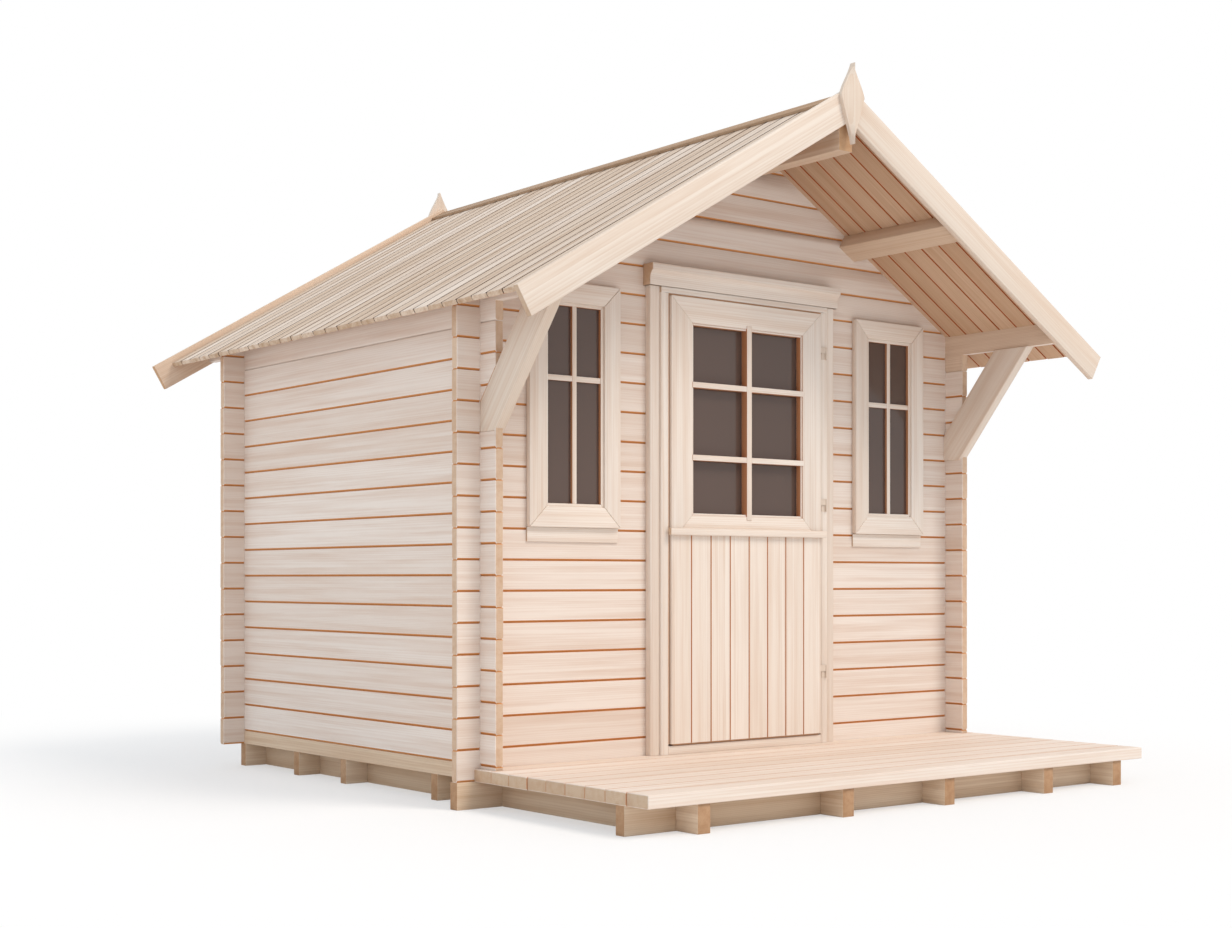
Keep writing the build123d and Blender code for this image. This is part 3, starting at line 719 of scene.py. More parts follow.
def new_piece(
    name: str, work: bmesh.types.BMesh, material: bpy.types.Material, seed: int, axes: Axes = WORLD_AXES
) -> bpy.types.Object:
    """Turns finished mesh work into a piece with its finish and its boards marked.

    Args:
        name: The piece's name.
        work: The mesh work, which is freed.
        material: The finish.
        seed: Fixes its boards' random shares.
        axes: The directions that its boards' sides follow.

    Returns:
        The piece, at the origin.
    """
    bmesh.ops.recalc_face_normals(work, faces=work.faces)
    piece = in_scene(name, work)
    piece.data.materials.append(material)
    mark_islands(piece, seed, axes)
    return piece


def part_at(work: bmesh.types.BMesh, level: float) -> None:
    """Parts a solid at a level, so that the boards above and below it are their own islands.

    Args:
        work: The solid.
        level: The height of the cut.
    """
    upper = work.copy()
    for part, is_upper in ((work, False), (upper, True)):
        whole = [*part.verts, *part.edges, *part.faces]
        sides = {"clear_inner": is_upper, "clear_outer": not is_upper}
        cut = bmesh.ops.bisect_plane(
            part, geom=whole, dist=CUT_WITHIN, plane_co=(0, 0, level), plane_no=Z_AXIS, **sides
        )
        rim = [item for item in cut["geom_cut"] if isinstance(item, bmesh.types.BMEdge)]
        bmesh.ops.edgeloop_fill(part, edges=rim)
    join(work, upper)


def planed_copy(
    name: str,
    node: str,
    material: bpy.types.Material,
    seed: int,
    reach: float,
    axes: Axes = WORLD_AXES,
    levels: Sequence[float] = (),
) -> bpy.types.Object:
    """A frame node as planed timber, with its edges rounded and its grain along its length.

    Args:
        name: The piece's name.
        node: The frame's node.
        material: The finish.
        seed: Fixes its boards' random shares.
        reach: How far its rounded edges reach.
        axes: The directions that its boards' sides follow.
        levels: Heights at which the node is parted into boards of their own.

    Returns:
        The piece.
    """
    work = bmesh.new()
    work.from_mesh(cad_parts[node].data)
    bmesh.ops.remove_doubles(work, verts=work.verts, dist=WELD)
    bmesh.ops.dissolve_limit(work, angle_limit=FLAT_WITHIN, verts=work.verts, edges=work.edges)
    for level in levels:
        part_at(work, level)
    soften(work, reach)
    return new_piece(name, work, material, seed, axes)


def extrude(work: bmesh.types.BMesh, outline: Outline, front: float, back: float) -> None:
    """Adds a closed solid between two planes across Y.

    Args:
        work: The empty mesh work.
        outline: X and Z of the corners.
        front: The near face's Y.
        back: The far face's Y.
    """
    near = [work.verts.new((x, front, z)) for x, z in outline]
    far = [work.verts.new((x, back, z)) for x, z in outline]
    work.faces.new(near)
    work.faces.new(far)
    close_sides(work, near, far)
    bmesh.ops.recalc_face_normals(work, faces=work.faces)


def cut_board(work: bmesh.types.BMesh, outline: Outline, front: float, back: float, reach: float) -> None:
    """Adds a flat board that stands upright, with its edges rounded.

    Args:
        work: The mesh work.
        outline: X and Z of its corners.
        front: Its front face's Y.
        back: Its back face's Y.
        reach: How far its rounded edges reach.
    """
    board = bmesh.new()
    extrude(board, outline, front, back)
    soften(board, reach)
    join(work, board)


@dataclass(frozen=True)
class Rectangle:
    """An upright rectangle, in X and Z."""

    left: float
    right: float
    low: float
    high: float

    @classmethod
    def around(cls, node: str) -> "Rectangle":
        """The front view of a frame node's box."""
        low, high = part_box(node)
        return cls(low.x, high.x, low.z, high.z)

    def grown(self, reach: float) -> "Rectangle":
        """The rectangle, larger on every side, or smaller where reach is negative."""
        return Rectangle(self.left - reach, self.right + reach, self.low - reach, self.high + reach)

    def corners(self) -> Outline:
        """Its corners, round from the lower left one."""
        left, right, low, high = self.left, self.right, self.low, self.high
        return (left, low), (right, low), (right, high), (left, high)


def mitred_frame(
    work: bmesh.types.BMesh, outer: Rectangle, inner: Rectangle, front: float, back: float, reach: float
) -> None:
    """Adds four boards round an opening, with a hairline joint at each mitre.

    Args:
        work: The mesh work.
        outer: The frame's outside.
        inner: The frame's opening.
        front: The front face's Y.
        back: The back face's Y.
        reach: How far the rounded edges reach.
    """
    outside, inside = outer.corners(), inner.corners()
    for i in range(4):
        j = (i + 1) % 4
        middle_x = (outside[i][0] + outside[j][0]) / 2
        middle_z = (outside[i][1] + outside[j][1]) / 2
        along_x = outside[i][1] == outside[j][1]
        outline = []
        for x, z in (outside[i], outside[j], inside[j], inside[i]):
            if along_x:
                x += MITRE_GAP if x < middle_x else -MITRE_GAP
            else:
                z += MITRE_GAP if z < middle_z else -MITRE_GAP
            outline.append((x, z))
        cut_board(work, outline, front, back, reach)


def refinish(piece: bpy.types.Object, material: bpy.types.Material, facing: Vector) -> None:
    """Gives the faces that look one way a second, darker finish, in which shade is painted.

    Args:
        piece: The piece.
        material: The second finish, darker: painted shade.
        facing: The way that those faces look.
    """
    piece.data.materials.append(material)
    for face in piece.data.polygons:
        if face.normal.dot(facing) > FACING_FROM:
            face.material_index = 1


def stand_for(piece: bpy.types.Object, body: str, slot: str, *nodes: str) -> None:
    """Sets a finished piece on its body, in place of the nodes that it shows better.

    Args:
        piece: The piece, at the origin.
        body: The frame's body that it moves with.
        slot: The record's material slot; not used.
        *nodes: The nodes that it stands for.
    """
    piece.data.set_sharp_from_angle(angle=SHARP_FROM)
    piece.data.shade_smooth()
    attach(piece, body)
    if nodes:
        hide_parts(*nodes)
    log.info("%s: %d faces on %s", piece.name, len(piece.data.polygons), body)


def finish_node(node: str, material: bpy.types.Material) -> None:
    """Gives a node of the frame that shows as it is its finish."""
    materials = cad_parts[node].data.materials
    materials.clear()
    materials.append(material)
    log.info("%s: shown as it is", node)


def tint_reveals(piece: bpy.types.Object, rim: Rectangle | None = None) -> None:
    """Marks the faces beside, over and under a pane, where the warm shade of a joint is painted.

    Args:
        piece: The piece round or across the pane.
        rim: What the marked faces lie in, or nothing for all of the piece.
    """
    centres, normals = faces_of(piece.data)[:2]
    marked = np.abs(normals[:, 1]) < REVEAL_BELOW
    if rim is not None:
        marked &= (centres[:, 0] > rim.left) & (centres[:, 0] < rim.right)
        marked &= (centres[:, 2] > rim.low) & (centres[:, 2] < rim.high)
    store(piece.data, "seam", marked * REVEAL_SHADE)


def cutter(name: str, boxes: Sequence[tuple[Sequence[float], Sequence[float]]]) -> bpy.types.Object:
    """Closed boxes that rows are cut with, kept out of the picture.

    Args:
        name: The object's name.
        boxes: The lowest and highest corner of each box.

    Returns:
        The object, which is removed when the rows are done.
    """
    work = bmesh.new()
    for low, high in boxes:
        size = [far - near for near, far in zip(low, high)]
        middle = [(near + far) / 2 for near, far in zip(low, high)]
        matrix = Matrix.Translation(middle) @ Matrix.Diagonal((*size, 1))
        bmesh.ops.create_cube(work, size=1, matrix=matrix)
    return in_scene(name, work)


def grown_copy(name: str, nodes: Sequence[str]) -> bpy.types.Object:
    """Frame nodes as one cutter, a hair larger than they are.

    Args:
        name: The object's name.
        nodes: The frame's nodes, which don't overlap.

    Returns:
        The object, which is removed when the rows are done.
    """
    work = bmesh.new()
    for node in nodes:
        work.from_mesh(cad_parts[node].data)
    bmesh.ops.remove_doubles(work, verts=work.verts, dist=WELD)
    bmesh.ops.recalc_face_normals(work, faces=work.faces)
    work.normal_update()
    moves = [(vertex, vertex.normal * AIR_GAP) for vertex in work.verts]
    for vertex, move in moves:
        vertex.co += move
    return in_scene(name, work)


def turned(origin: Sequence[float], along: Vector, across: Vector) -> Matrix:
    """A place whose X runs along and whose Y runs across.

    Args:
        origin: Where the place starts.
        along: The direction of its X.
        across: The direction of its Y.

    Returns:
        The matrix that takes stock there.
    """
    turn = Matrix((along, across, along.cross(across))).transposed().to_4x4()
    return Matrix.Translation(origin) @ turn


@dataclass(frozen=True)
class Places:
    """The main faces of the shed, read from the frame."""

    half_width: float
    inner_half: float
    log_reach: float
    front: float
    back: float
    base: float
    side_top: float
    gable_base: float
    roof_underside: float
    roof_front: float
    roof_back: float

    @classmethod
    def from_frame(cls) -> "Places":
        """Reads the places.

        Returns:
            The places, in metres from the frame's origin.
        """
        side_low, side_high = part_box("right_wall")
        front_low, front_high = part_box("front_wall_right")
        beam_low, beam_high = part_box("ridge_beam")
        return cls(
            half_width=side_high.x,
            inner_half=side_low.x,
            log_reach=front_high.x,
            front=front_low.y,
            back=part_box("back_wall")[1].y,
            base=front_low.z,
            side_top=side_high.z,
            gable_base=front_high.z,
            roof_underside=beam_high.z,
            roof_front=beam_low.y,
            roof_back=beam_high.y,
        )

    @property
    def stub(self) -> float:
        """How far the logs run past the walls that they cross."""
        return self.log_reach - self.half_width


@dataclass
class Base:
    """Bearers, noggings, joists, the room's floor and the deck."""

    places: Places
    rows: RowTree
    finishes: Finishes
    timber_edge: float = 0.002
    floor_pitch: float = 0.096
    floor_bevel: float = 0.001
    deck_pitch: float = 0.111
    deck_joint: float = 0.0008
    deck_bevel: float = 0.0025
    deck_under: float = 0.002
    deck_drift: float = 0.002
    notch_gap: float = 0.002
    cut_past: float = 0.05

    def build(self) -> None:
        """Builds the sawn timbers, the floor boards and the deck."""
        sawn = self.finishes.of["foundation_timber"]
        timbers = (
            ("front_bearer_timber", "front_bearer"),
            ("bearer_timbers", "bearers"),
            ("nogging_timbers", "noggings"),
            ("joist_timbers", "deck_joists"),
            ("cross_beam_timbers", "deck_cross_beam"),
        )
        for seed, (name, node) in enumerate(timbers, start=61):
            piece = planed_copy(name, node, sawn, seed, self.timber_edge)
            stand_for(piece, "shed", "foundation_timber", node)
        self.build_floor()
        self.build_deck()

    def build_floor(self) -> None:
        """Tongued floor boards that run from wall to wall."""
        low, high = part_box("floor")
        count = round((high.y - low.y) / self.floor_pitch)
        pitch = (high.y - low.y) / count
        bevel = self.floor_bevel
        section = board_section(pitch, high.z - low.z, bevel, bevel, AIR_GAP)
        piece = stock("floor_stock", section, high.x - low.x, bevel)
        courses = Courses(Matrix.Translation(low), Vector((0, pitch, 0)), count, 71)
        row = self.rows.lay("floor_boards", piece, courses, STILL, self.finishes.of["floor_board"])
        stand_for(row, "shed", "floor_board", "floor")

    def build_deck(self) -> None:
        """Thick deck boards, cut round the side walls' front stubs."""
        low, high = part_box("deck")
        shed, gap = self.places, self.notch_gap
        count = round((high.y - low.y) / self.deck_pitch)
        pitch = (high.y - low.y) / count
        section = board_section(pitch, high.z - low.z, self.deck_under, self.deck_bevel, self.deck_joint)
        piece = stock("deck_stock", section, high.x - low.x - 2 * self.deck_drift, self.deck_under)
        past = self.cut_past
        boxes = []
        for side in Side:
            near, far = side.span(shed.inner_half - gap, shed.half_width + gap)
            first = (near, shed.front - shed.stub - gap, low.z - past)
            boxes.append((first, (far, shed.front + past, high.z + past)))
        stubs = cutter("deck_notches", boxes)
        drift = Vector((self.deck_drift, 0, 0))
        courses = Courses(Matrix.Translation(low + drift), Vector((0, pitch, 0)), count, 73)
        row = self.rows.lay("deck_boards", piece, courses, drift, self.finishes.of["deck_board"], (stubs,))
        bpy.data.objects.remove(stubs)
        stand_for(row, "shed", "deck_board", "deck")


@dataclass
class Walls:
    """Log walls: each log is its own length, let into the logs that it crosses."""

    places: Places
    rows: RowTree
    finishes: Finishes
    profile: LogProfile = LogProfile()
    notch_gap: float = 0.0004
    end_drift: float = 0.0012
    cut_past: float = 0.01
    window_past: float = 0.02
    head_past: float = 0.1
    below_past: float = 0.2
    wide_past: float = 1.0
    roof_half: float = 1.8
    roof_past: float = 0.3

    def __post_init__(self) -> None:
        """Makes the walls' cutters."""
        self.notches_front = cutter("notches_front", self.notches(0.0))
        self.notches_side = cutter("notches_side", self.notches(self.profile.pitch / 2))
        self.roof = self.roof_cutter()
        self.roof_timbers = grown_copy("roof_timber_holes", ("ridge_beam", "left_purlin", "right_purlin"))

    def notches(self, shift: float) -> list[tuple[Vector, Vector]]:
        """The boxes that a wall's logs lose where they cross the other walls.

        Args:
            shift: Height of the first box's middle above the base, which is 0 for the front and the back.

        Returns:
            A low and a high corner for each box, at all four corners of the shed.
        """
        boxes = []
        shed, gap, thickness = self.places, self.notch_gap, self.profile.thickness
        half_notch = self.profile.pitch / 4
        centre = shed.base + shift
        grow_x, grow_y = (gap, self.cut_past) if shift == 0.0 else (self.cut_past, gap)
        while centre - half_notch < shed.roof_underside:
            low_z, high_z = centre - half_notch - gap, centre + half_notch + gap
            for side in Side:
                for face in (shed.front, shed.back - thickness):
                    near, far = side.span(shed.inner_half, shed.half_width)
                    low = Vector((near - grow_x, face - grow_y, low_z))
                    boxes.append((low, Vector((far + grow_x, face + thickness + grow_y, high_z))))
            centre += self.profile.pitch
        return boxes

    def roof_cutter(self) -> bpy.types.Object:
        """Everything above the underside of the roof boards, as a cutter."""
        shed, reach, past = self.places, self.roof_half, self.roof_past
        ridge = shed.roof_underside
        edge, top = ridge - reach * tan(ROOF_PITCH), ridge + self.wide_past
        work = bmesh.new()
        outline = ((-reach, edge), (0.0, ridge), (reach, edge), (reach, top), (-reach, top))
        extrude(work, outline, shed.roof_front - past, shed.roof_back + past)
        bmesh.ops.triangulate(work, faces=work.faces)
        return in_scene("roof_space", work)

    def courses(
        self,
        name: str,
        node: str,
        place: Matrix,
        length: float,
        count: int,
        seed: int,
        cutters: Sequence[bpy.types.Object],
    ) -> None:
        """Lays one wall's logs and sets them in place of its node.

        Args:
            name: The piece's name.
            node: The frame's node.
            place: Where the lowest log starts.
            length: The logs' length.
            count: The number of courses.
            seed: Fixes the logs' random shares.
            cutters: What is cut out of them.
        """
        courses = Courses(place, Vector((0, 0, self.profile.pitch)), count, seed)
        piece = stock(f"{name}_stock", self.profile.section(), length, self.profile.end_chamfer)
        drift = Vector((self.end_drift, 0.0, 0.0))
        row = self.rows.lay(name, piece, courses, drift, self.finishes.of["wall_log"], cutters)
        stand_for(row, "shed", "wall_log", node)

    def build(self) -> None:
        """Builds every wall and gable, and removes the cutters."""
        shed = self.places
        inner_edge = abs(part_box("front_wall_right")[0].x)
        through = Vector((0, self.window_past, 0))
        openings = []
        for side in Side:
            low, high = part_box(f"{side.word}_window_frame")
            openings.append((low - through, high + through))
        windows = cutter("window_openings", openings)
        count = round((shed.gable_base - shed.base) / self.profile.pitch)
        length = shed.log_reach - inner_edge
        cuts = (self.notches_front, windows, self.roof)
        for side, start in ((Side.LEFT, -shed.log_reach), (Side.RIGHT, inner_edge)):
            place = Matrix.Translation((start, shed.front, shed.base))
            name = f"front_logs_{side.word}"
            self.courses(name, f"front_wall_{side.word}", place, length, count, 11 + side.value, cuts)
        length = 2 * shed.log_reach
        back_place = turned((shed.log_reach, shed.back, shed.base), -X_AXIS, -Y_AXIS)
        cuts = (self.notches_front, self.roof)
        self.courses("back_logs", "back_wall", back_place, length, count, 21, cuts)
        self.build_gables(length)
        self.build_sides()
        for shape in (self.notches_front, self.notches_side, self.roof, self.roof_timbers, windows):
            bpy.data.objects.remove(shape)

    def build_gables(self, length: float) -> None:
        """The courses above the walls, let out round the roof timbers and the door's head.

        Args:
            length: The logs' length before the roof cuts them.
        """
        shed = self.places
        count = ceil((shed.roof_underside - shed.gable_base) / self.profile.pitch)
        frame_low, frame_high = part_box("door_frame")
        head_low = (frame_low.x - AIR_GAP, shed.front - self.cut_past, shed.gable_base - self.head_past)
        head_high = (frame_high.x + AIR_GAP, shed.front + self.head_past, frame_high.z)
        head = cutter("head_opening", [(head_low, head_high)])
        shared = (self.notches_front, self.roof, self.roof_timbers)
        place = Matrix.Translation((-shed.log_reach, shed.front, shed.gable_base))
        self.courses("front_gable_logs", "front_gable", place, length, count, 31, (*shared, head))
        place = turned((shed.log_reach, shed.back, shed.gable_base), -X_AXIS, -Y_AXIS)
        self.courses("back_gable_logs", "back_gable", place, length, count, 32, shared)
        bpy.data.objects.remove(head)

    def side_place(self, side: Side, past: float, level: float) -> Matrix:
        """Where a side wall's logs start: at the back on the left, and at the front on the right.

        Args:
            side: The wall's side.
            past: How far the logs run past the front and the back wall.
            level: The height of the first log's underside.

        Returns:
            The place.
        """
        shed = self.places
        if side is Side.LEFT:
            return turned((-shed.half_width, shed.back + past, level), -Y_AXIS, X_AXIS)
        return turned((shed.half_width, shed.front - past, level), Y_AXIS, -X_AXIS)

    def build_sides(self) -> None:
        """The side walls, which start on a half log, and the braces' seats in their front stubs."""
        shed, half_pitch, past = self.places, self.profile.pitch / 2, self.wide_past
        half = 2 * past
        low = (-half, shed.front - past, shed.base - self.below_past)
        below = cutter("below_base", [(low, (half, shed.back + past, shed.base))])
        low = (-half, shed.front, shed.base - self.head_past)
        between = cutter("base_log_space", [(low, (half, shed.back, shed.base + half_pitch))])
        start_z = shed.base - half_pitch
        count = round((shed.side_top - start_z) / self.profile.pitch)
        length = shed.back - shed.front + 2 * shed.stub
        for side in Side:
            self.build_base_log(side)
            # The knee brace's foot takes a wedge out of the front stubs
            seat = grown_copy(f"{side.word}_brace_seat", (f"{side.word}_brace",))
            place = self.side_place(side, shed.stub, start_z)
            cuts = (self.notches_side, below, between, seat)
            self.courses(
                f"{side.word}_logs", f"{side.word}_wall", place, length, count, 41 + side.value, cuts
            )
            bpy.data.objects.remove(seat)
        bpy.data.objects.remove(below)
        bpy.data.objects.remove(between)

    def build_base_log(self, side: Side) -> None:
        """The sawn half log on which a side wall stands, between the front and the back wall."""
        shed, profile = self.places, self.profile
        length = shed.back - shed.front - 2 * AIR_GAP
        place = self.side_place(side, -AIR_GAP, shed.base)
        courses = Courses(place, Vector((0, 0, profile.pitch / 2)), 1, 51 + side.value)
        piece = stock(f"{side.word}_base_stock", profile.half_section(), length, profile.sawn_chamfer)
        sawn, name = self.finishes.of["foundation_timber"], f"{side.word}_base_log"
        row = self.rows.lay(name, piece, courses, STILL, sawn, (self.notches_side,))
        stand_for(row, "shed", "wall_log")


@dataclass
class Roof:
    """Roof timbers, boarded slopes, ridge cap, barge boards, finials and knee braces."""

    places: Places
    rows: RowTree
    finishes: Finishes
    timber_edge: float = 0.003
    log_edge: float = 0.002
    barge_edge: float = 0.0022
    cap_edge: float = 0.0015
    board_pitch: float = 0.0947
    board_joint: float = 0.0012
    board_chamfer: float = 0.001
    groove_bevel: float = 0.005
    soffit_bevel: float = 0.0035
    end_room: float = 0.0015
    end_drift: float = 0.0012
    face_drift: float = 0.0003
    brace_pitch: float = radians(51)
    finial_tip: float = 0.0012
    finial_bevel: float = 0.42
    finial_shoulder: float = 0.6
    finial_steps: int = 9
    ogee_share: float = 0.35

    @staticmethod
    def slope_axes(side: Side) -> Axes:
        """Directions down the slope, along the ridge and out of the boards."""
        down = Vector((side.value * cos(ROOF_PITCH), 0, -sin(ROOF_PITCH)))
        out = Vector((side.value * sin(ROOF_PITCH), 0, cos(ROOF_PITCH)))
        return down, out.cross(down), out

    def build(self) -> None:
        """Builds the roof from its timbers up."""
        timber, trim = self.finishes.of["roof_timber"], self.finishes.of["trim_board"]
        logs, capping = self.finishes.of["wall_log"], self.finishes.of["ridge_capping"]
        piece = planed_copy("ridge_timber", "ridge_beam", timber, 81, self.timber_edge)
        stand_for(piece, "shed", "roof_timber", "ridge_beam")
        for side in Side:
            axes = self.slope_axes(side)
            node = f"{side.word}_purlin"
            piece = planed_copy(f"{node}_timber", node, timber, 83 + side.value, self.timber_edge, axes)
            stand_for(piece, "shed", "roof_timber", node)
            node = f"{side.word}_eave_log"
            piece = planed_copy(f"{side.word}_eave_timber", node, logs, 87 + side.value, self.log_edge)
            # The eave log's inner face takes the darker roof timber: painted shade under the eaves
            refinish(piece, timber, -side.value * X_AXIS)
            stand_for(piece, "shed", "wall_log", node)
            self.build_slope(side, axes)
            # The back barge boards take the darker roof timber: painted shade
            for end, finish, seed in (("front", trim, 91), ("back", timber, 96)):
                node = f"{end}_barge_{side.word}"
                piece = planed_copy(f"{node}_board", node, finish, seed + side.value, self.barge_edge, axes)
                stand_for(piece, "shed", "trim_board", node)
            self.build_brace(side)
        for seed, end in enumerate(("front", "back"), start=101):
            self.build_finial(end, trim, seed)
        piece = planed_copy("ridge_capping", "ridge_cap", capping, 103, self.cap_edge)
        stand_for(piece, "shed", "roof_board", "ridge_cap")

    def build_finial(self, end: str, material: bpy.types.Material, seed: int) -> None:
        """A leaf-shaped finial with curved sides and a ridge down its outer face.

        Args:
            end: The gable's end.
            material: The finish.
            seed: Fixes the board's random share.
        """
        low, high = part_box(f"{end}_finial")
        outer, inner = (low.y, high.y) if end == "front" else (high.y, low.y)
        edge = outer + (inner - outer) * self.finial_bevel
        half, tip = (high.x - low.x) / 2, self.finial_tip
        shoulder = low.z + self.finial_shoulder * (high.z - low.z)
        outline = set()
        for point in (low.z, high.z):
            for step in range(self.finial_steps + 1):
                share = step / self.finial_steps
                # An ogee: hollow towards the point and full at the shoulder
                ogee = 3 * share**2 - 2 * share**3
                swell = (1 - self.ogee_share) * share + self.ogee_share * ogee
                outline.add((point + (shoulder - point) * share, tip + (half - tip) * swell))
        work = bmesh.new()
        levels = []
        for z, reach in sorted(outline):
            corners = ((0, outer), (reach, edge), (reach, inner), (-reach, inner), (-reach, edge))
            levels.append([work.verts.new((x, y, z)) for x, y in corners])
        for first, second in zip(levels, levels[1:]):
            close_sides(work, first, second)
        work.faces.new(levels[0])
        work.faces.new(levels[-1])
        piece = new_piece(f"{end}_finial_board", work, material, seed)
        stand_for(piece, "shed", "trim_board", f"{end}_finial")

    def build_slope(self, side: Side, axes: Axes) -> None:
        """One slope's boards, weathered on top, and below in a darker tan that is partly painted shade.

        Args:
            side: The slope's side.
            axes: Directions down the slope, along the ridge and out of the boards.
        """
        down, across, out = axes
        low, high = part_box(f"roof_{side.word}")
        thickness = (high.z - self.places.roof_underside) * cos(ROOF_PITCH)
        length = (high.x - low.x) / cos(ROOF_PITCH)
        count = round((high.y - low.y) / self.board_pitch)
        pitch = (high.y - low.y) / count
        origin = Vector((0, low.y if across.y > 0 else high.y, high.z)) - out * thickness
        section = board_section(pitch, thickness, self.soffit_bevel, self.groove_bevel, self.board_joint)
        mitre = thickness * tan(ROOF_PITCH)
        piece = stock(f"roof_{side.word}_stock", section, length - self.end_room, self.board_chamfer, mitre)
        courses = Courses(turned(origin, down, across), Vector((0, pitch, 0)), count, 111 + side.value)
        drift, weathered = Vector((self.end_drift, 0, self.face_drift)), self.finishes.of["roof_board"]
        row = self.rows.lay(f"roof_{side.word}_boards", piece, courses, drift, weathered)
        # The boards' undersides take the darker soffit finish, which is partly painted shade
        refinish(row, self.finishes.of["soffit"], -out)
        stand_for(row, "shed", "roof_board", f"roof_{side.word}")

    def build_brace(self, side: Side) -> None:
        """A knee brace, with its grain along its slope."""
        lean = Vector((0, -cos(self.brace_pitch), sin(self.brace_pitch)))
        axes = (lean, X_AXIS, lean.cross(X_AXIS))
        node, trim = f"{side.word}_brace", self.finishes.of["trim_board"]
        piece = planed_copy(f"{node}_timber", node, trim, 121 + side.value, self.timber_edge, axes)
        stand_for(piece, "shed", "roof_timber", node)


@dataclass
class Window:
    """A fixed window: mitred casing, apron, frame, bars and its pane."""

    side: Side
    finishes: Finishes
    reveal: float = 0.012
    casing_width: float = 0.078
    casing_edge: float = 0.004
    apron_thickness: float = 0.007
    apron_joint: float = 0.0004
    sash_edge: float = 0.001
    bar_half: float = 0.010
    cross_half: float = 0.0105
    cross_setback: float = 0.07
    cross_share: float = 0.634
    bar_edge: float = 0.0012
    bar_behind_casing: float = 0.011
    inner_bar_depth: float = 0.012

    def __post_init__(self) -> None:
        """Reads the window's place from the frame."""
        self.material = self.finishes.of["joinery"]
        low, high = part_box(f"{self.side.word}_window_glass")
        self.glass = Rectangle.around(f"{self.side.word}_window_glass")
        self.glass_front, self.glass_back = low.y, high.y
        low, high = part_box(f"{self.side.word}_window_casing")
        self.casing_front, self.wall, self.foot = low.y, high.y, low.z

    def build(self) -> None:
        """Builds the window's pieces."""
        name = self.side.word
        seed = 131 + self.side.value
        reveal = self.glass.grown(self.reveal)
        outside = reveal.grown(self.casing_width)
        work = bmesh.new()
        mitred_frame(work, outside, reveal, self.casing_front, self.wall, self.casing_edge)
        apron = Rectangle(outside.left, outside.right, self.foot, outside.low - self.apron_joint)
        cut_board(work, apron.corners(), self.wall - self.apron_thickness, self.wall, SOFT_EDGE)
        piece = new_piece(f"{name}_window_casing_boards", work, self.material, seed)
        stand_for(piece, "shed", "joinery", f"{name}_window_casing")

        node = f"{name}_window_frame"
        low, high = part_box(node)
        work = bmesh.new()
        mitred_frame(work, reveal, self.glass, low.y, self.wall, self.sash_edge)
        mitred_frame(work, Rectangle.around(node), self.glass, self.wall, high.y, self.sash_edge)
        piece = new_piece(f"{name}_window_sash", work, self.material, seed + 4)
        tint_reveals(piece)
        stand_for(piece, "shed", "joinery", node)
        self.build_bars(seed + 8)
        finish_node(f"{name}_window_glass", self.finishes.of["pane"])

    def build_bars(self, seed: int) -> None:
        """One upright bar and one cross bar, before the glass and again behind it.

        Args:
            seed: Fixes the bars' random shares.
        """
        glass, half, back = self.glass, self.bar_half, self.cross_setback
        middle = (glass.left + glass.right) / 2
        cross = glass.low + self.cross_share * (glass.high - glass.low)
        outer_bars = (self.casing_front + self.bar_behind_casing, self.glass_front)
        inner_bars = (self.glass_back + self.inner_bar_depth, self.glass_back)
        reach = half + AIR_GAP
        work = bmesh.new()
        for face, pane in (outer_bars, inner_bars):
            upright = Rectangle(middle - half, middle + half, glass.low, glass.high)
            cut_board(work, upright.corners(), face, pane, self.bar_edge)
            for left, right in ((glass.left, middle - reach), (middle + reach, glass.right)):
                bar = Rectangle(left, right, cross - self.cross_half, cross + self.cross_half)
                cut_board(work, bar.corners(), face * (1 - back) + pane * back, pane, self.bar_edge)
        piece = new_piece(f"{self.side.word}_window_bars", work, self.material, seed)
        tint_reveals(piece)
        stand_for(piece, "shed", "joinery")


